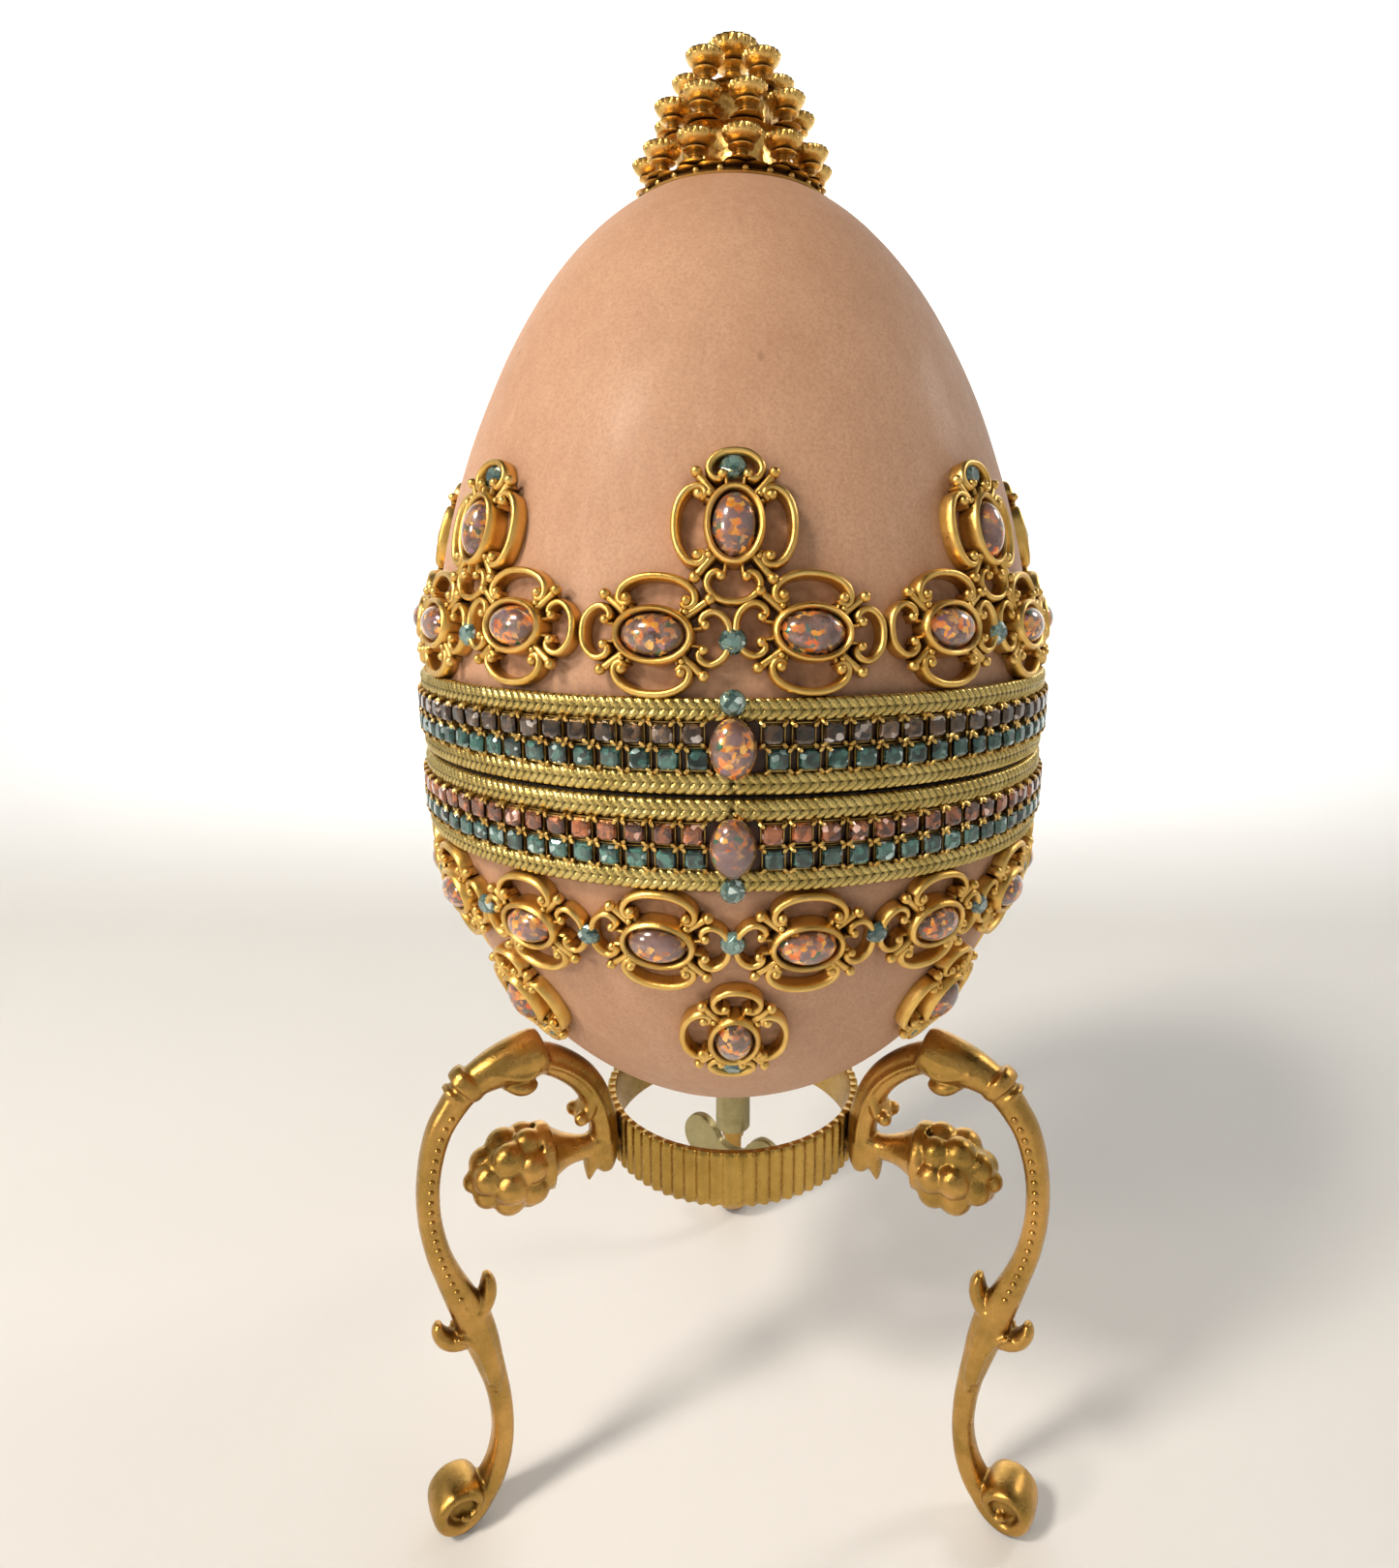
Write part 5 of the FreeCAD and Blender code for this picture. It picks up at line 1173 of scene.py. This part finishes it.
def gathered(shape, low_rise, high_rise, folds, puff, along, around=720):
    """A velvet wall along the shell with upright folds, its hollow side puffed inwards."""
    out = outline(low_rise, high_rise, LINING_OUT, along)
    inner = outline(low_rise, high_rise, LINING_IN, along)
    angle = np.linspace(0, 2 * math.pi, around, endpoint=False)
    drift = np.array([noise.noise((math.cos(a) * 2, math.sin(a) * 2, 3.0)) for a in angle])
    points = np.zeros((2 * along, around, 3))
    tone = np.zeros((2 * along, around))
    open_ended = high_rise < 0
    for number, (radius, rise) in enumerate(np.vstack([out, inner[::-1]])):
        reach = np.full(around, radius)
        if number >= along:
            share = (rise - inner[0, 1]) / (inner[-1, 1] - inner[0, 1])
            if open_ended:
                swell = math.sin(math.pi * np.clip(0.04 + 0.96 * share, 0, 1)) ** 0.4
            else:
                swell = min(1.0, 6 * share + 0.2)
            fold = np.abs(np.sin(angle * folds / 2 + 2.0 * drift + 0.25 * np.sin(rise * 0.5 + 5 * drift)))
            depth = min(puff, 0.16 * max(radius, 0.5))
            reach = np.maximum(radius - depth * swell * (fold ** 0.7 - 0.25), 0.02)
            # The tone marks the creases between the folds, which the velvet finish paints with shade.
            tone[number] = 1 - np.clip(fold * 1.6, 0, 1)
        points[number] = circle(angle, reach, SEAM + rise)
    return shape.add(points, grid(2 * along, around, open_ended, True), tone=tone.ravel())


def make_linings():
    shape = Shape()
    bottom = low("lid_lining")[2] - SEAM
    gathered(shape, bottom, EGG_MIDDLE + EGG_HALF - LINING_IN, 56, 1.1, 80)
    ball(shape, (0, 0, SEAM + EGG_MIDDLE + EGG_HALF - LINING_IN - 1.6), 2.6, (1, 1, 0.5), 32, 12)
    rim = high("lid_lining")[0] - 0.5
    cord_round(shape, rim, bottom + 0.35, 0.5)
    shape.made("lid_gathered_velvet", VELVET, "lid", "lid_lining", slot="lining_velvet", smooth=80)
    shape = Shape()
    bottom, top = low("base_wall_lining")[2] - SEAM, high("base_wall_lining")[2] - SEAM
    gathered(shape, bottom - 0.7, top, 84, 0.7, 24)
    cord_round(shape, high("base_wall_lining")[0] - 0.5, top - 0.4, 0.5)
    shape.made("base_gathered_velvet", VELVET, "egg_base", "base_wall_lining", slot="lining_velvet",
               smooth=80)


def cord_round(shape, radius, rise, thick):
    """A twisted velvet cord laid round the rim."""
    turns = 150
    around = 1200
    angle = np.linspace(0, 2 * math.pi, around, endpoint=False)
    section = np.linspace(0, 2 * math.pi, 12, endpoint=False)
    twist = 1 + 0.16 * np.abs(np.sin(section[None] + angle[:, None] * turns))
    reach = radius - thick * 0.4 + thick * twist * np.cos(section)[None]
    height = SEAM + rise + thick * twist * np.sin(section)[None] * 0.9
    points = np.stack([reach * np.cos(angle)[:, None], reach * np.sin(angle)[:, None], height], -1)
    return shape.add(points, grid(around, len(section), True, True))


def cushion_mesh(radius, bottom, top):
    """A round pad with a flat base and soft shoulders, before it is stuffed."""
    shape = Shape()
    thick = top - bottom
    profile = [(0.01, bottom), (radius - 0.9, bottom), (radius - 0.25, bottom + 0.2 * thick),
               (radius - 0.3, bottom + 0.45 * thick), (radius - 1.6, bottom + 0.72 * thick),
               (radius * 0.7, bottom + 0.95 * thick), (radius * 0.25, bottom + 0.9 * thick),
               (0.01, bottom + 0.45 * thick)]
    return lathe(shape, profile, 128)


def stuffed(piece, rounds=20, most=0.0011):
    """Blow the pad up as cloth held at its base and its middle, and keep what it settles to."""
    mesh = piece.data
    rest = coordinates(mesh)
    reach = np.hypot(rest[:, 0], rest[:, 1])
    floor = rest[:, 2] < rest[:, 2].min() + 0.0003
    held = piece.vertex_groups.new(name="stitched")
    held.add(np.nonzero(floor | (reach < 0.0012))[0].tolist(), 1.0, "REPLACE")
    cloth = piece.modifiers.new("stuffing", "CLOTH")
    cloth.settings.quality = 6
    cloth.settings.mass = 0.15
    cloth.settings.tension_stiffness = 12
    cloth.settings.compression_stiffness = 4
    cloth.settings.bending_stiffness = 0.05
    cloth.settings.use_pressure = True
    cloth.settings.uniform_pressure_force = 4.0
    cloth.settings.shrink_min = -0.05
    cloth.settings.effector_weights.gravity = 0
    cloth.settings.vertex_group_mass = "stitched"
    scene = bpy.context.scene
    for number in range(1, rounds + 1):
        scene.frame_set(number)
    shift = coordinates(evaluated(piece).to_mesh()) - rest
    length = np.maximum(np.linalg.norm(shift, axis=1), 1e-9)
    shift *= np.minimum(1.0, most / length)[:, None]
    piece.modifiers.remove(cloth)
    scene.frame_set(1)
    mesh.vertices.foreach_set("co", (rest + shift).ravel())
    mesh.update()


def with_modifiers(piece):
    """Swap the piece's mesh for what its modifiers make of it."""
    mesh = bpy.data.meshes.new_from_object(evaluated(piece))
    piece.modifiers.clear()
    piece.data = mesh


def make_cushion():
    bottom, top = low("base_pad")[2], high("base_pad")[2]
    radius = high("base_pad")[0]
    piece = cushion_mesh(radius, bottom, top).made("base_velvet_cushion", VELVET, "egg_base", "base_pad",
                                                   slot="lining_velvet", smooth=0)
    remesh = piece.modifiers.new("even", "REMESH")
    remesh.mode = "VOXEL"
    remesh.voxel_size = 0.0009
    with_modifiers(piece)
    stuffed(piece)
    finer = piece.modifiers.new("finer", "SUBSURF")
    finer.levels = finer.render_levels = 1
    with_modifiers(piece)
    piece.data.polygons.foreach_set("use_smooth", [True] * len(piece.data.polygons))


make_linings()
make_cushion()

# ---------------------------------------------------------------- camera, floor and light

def make_stage():
    """A round pale floor that curves up into a wall far behind."""
    floor = Shape()
    reach = np.array([0, 300, 600, 900, 1100, 1250, 1350, 1400, 1400, 1400], float)
    height = np.array([0, 0, 0, 0, 25, 90, 200, 380, 900, 1600], float)
    profile = smooth_line(np.column_stack([reach + 0.01, height]), 6)
    lathe(floor, profile, 96)
    f = Finish("floor_paper", Roughness=0.85)
    f.done(Base_Color=f.mix(f.noise(0.02, 3.0), (0.87, 0.87, 0.86), (0.90, 0.90, 0.89)))
    points = (floor.all_points() * MM).tolist()
    mesh = bpy.data.meshes.new("floor")
    mesh.from_pydata(points, [], [list(q) for q in floor.faces[0]])
    mesh.materials.append(f.material)
    mesh.polygons.foreach_set("use_smooth", [True] * len(mesh.polygons))
    placed("floor", mesh)


# Each light's place, power, width, colour and aim, in metres and watts.
LIGHTS = {
    "key": ((-0.40, -0.30, 0.62), 3.3, 0.15, (1.0, 0.90, 0.78), (0, 0, 0.12)),
    "side": ((-0.52, -0.36, 0.30), 1.3, 0.12, (1.0, 0.89, 0.76), (0, 0, 0.12)),
    "glint": ((0.42, 0.16, 0.40), 0.50, 0.12, (1.0, 0.92, 0.84), (0, 0, 0.13)),
    "backdrop": ((0.0, 0.55, 0.75), 14.0, 0.7, (1.0, 1.0, 1.0), (0, 1.4, 0.35)),
}
CAMERA_LENS = 21.11      # mm, on a sensor 36 mm wide
CAMERA_SHIFT = -0.0213
CAMERA_REACH = 0.1217    # m, in front of the egg's axis
CAMERA_RISE = 20.5       # mm above the seam
CAMERA_DIP = 13.03       # degrees below level


def soft_light(name, place, power, size, colour, aim):
    lamp = bpy.data.lights.new(name, "AREA")
    lamp.shape = "DISK"
    lamp.size = size
    lamp.energy = power
    lamp.color = colour
    item = placed(name, lamp)
    item.location = place
    item.rotation_euler = (Vector(aim) - Vector(place)).to_track_quat("-Z", "Y").to_euler()


def make_camera():
    data = bpy.data.cameras.new("camera")
    data.lens = CAMERA_LENS
    data.sensor_width = 36
    data.shift_x = CAMERA_SHIFT
    data.clip_start = 0.005
    camera = placed("camera", data)
    camera.location = (0, -CAMERA_REACH, (SEAM + CAMERA_RISE) * MM)
    camera.rotation_euler = (math.radians(90 - CAMERA_DIP), 0, 0)
    bpy.context.scene.camera = camera


def make_world():
    world = bpy.data.worlds.new("studio")
    world.use_nodes = True
    back = world.node_tree.nodes["Background"]
    back.inputs["Color"].default_value = (1.0, 0.97, 0.93, 1)
    back.inputs["Strength"].default_value = 0.05
    bpy.context.scene.world = world
    bpy.context.scene.view_settings.view_transform = "Standard"


make_stage()
make_camera()
make_world()
for light, settings in LIGHTS.items():
    soft_light(light, *settings)
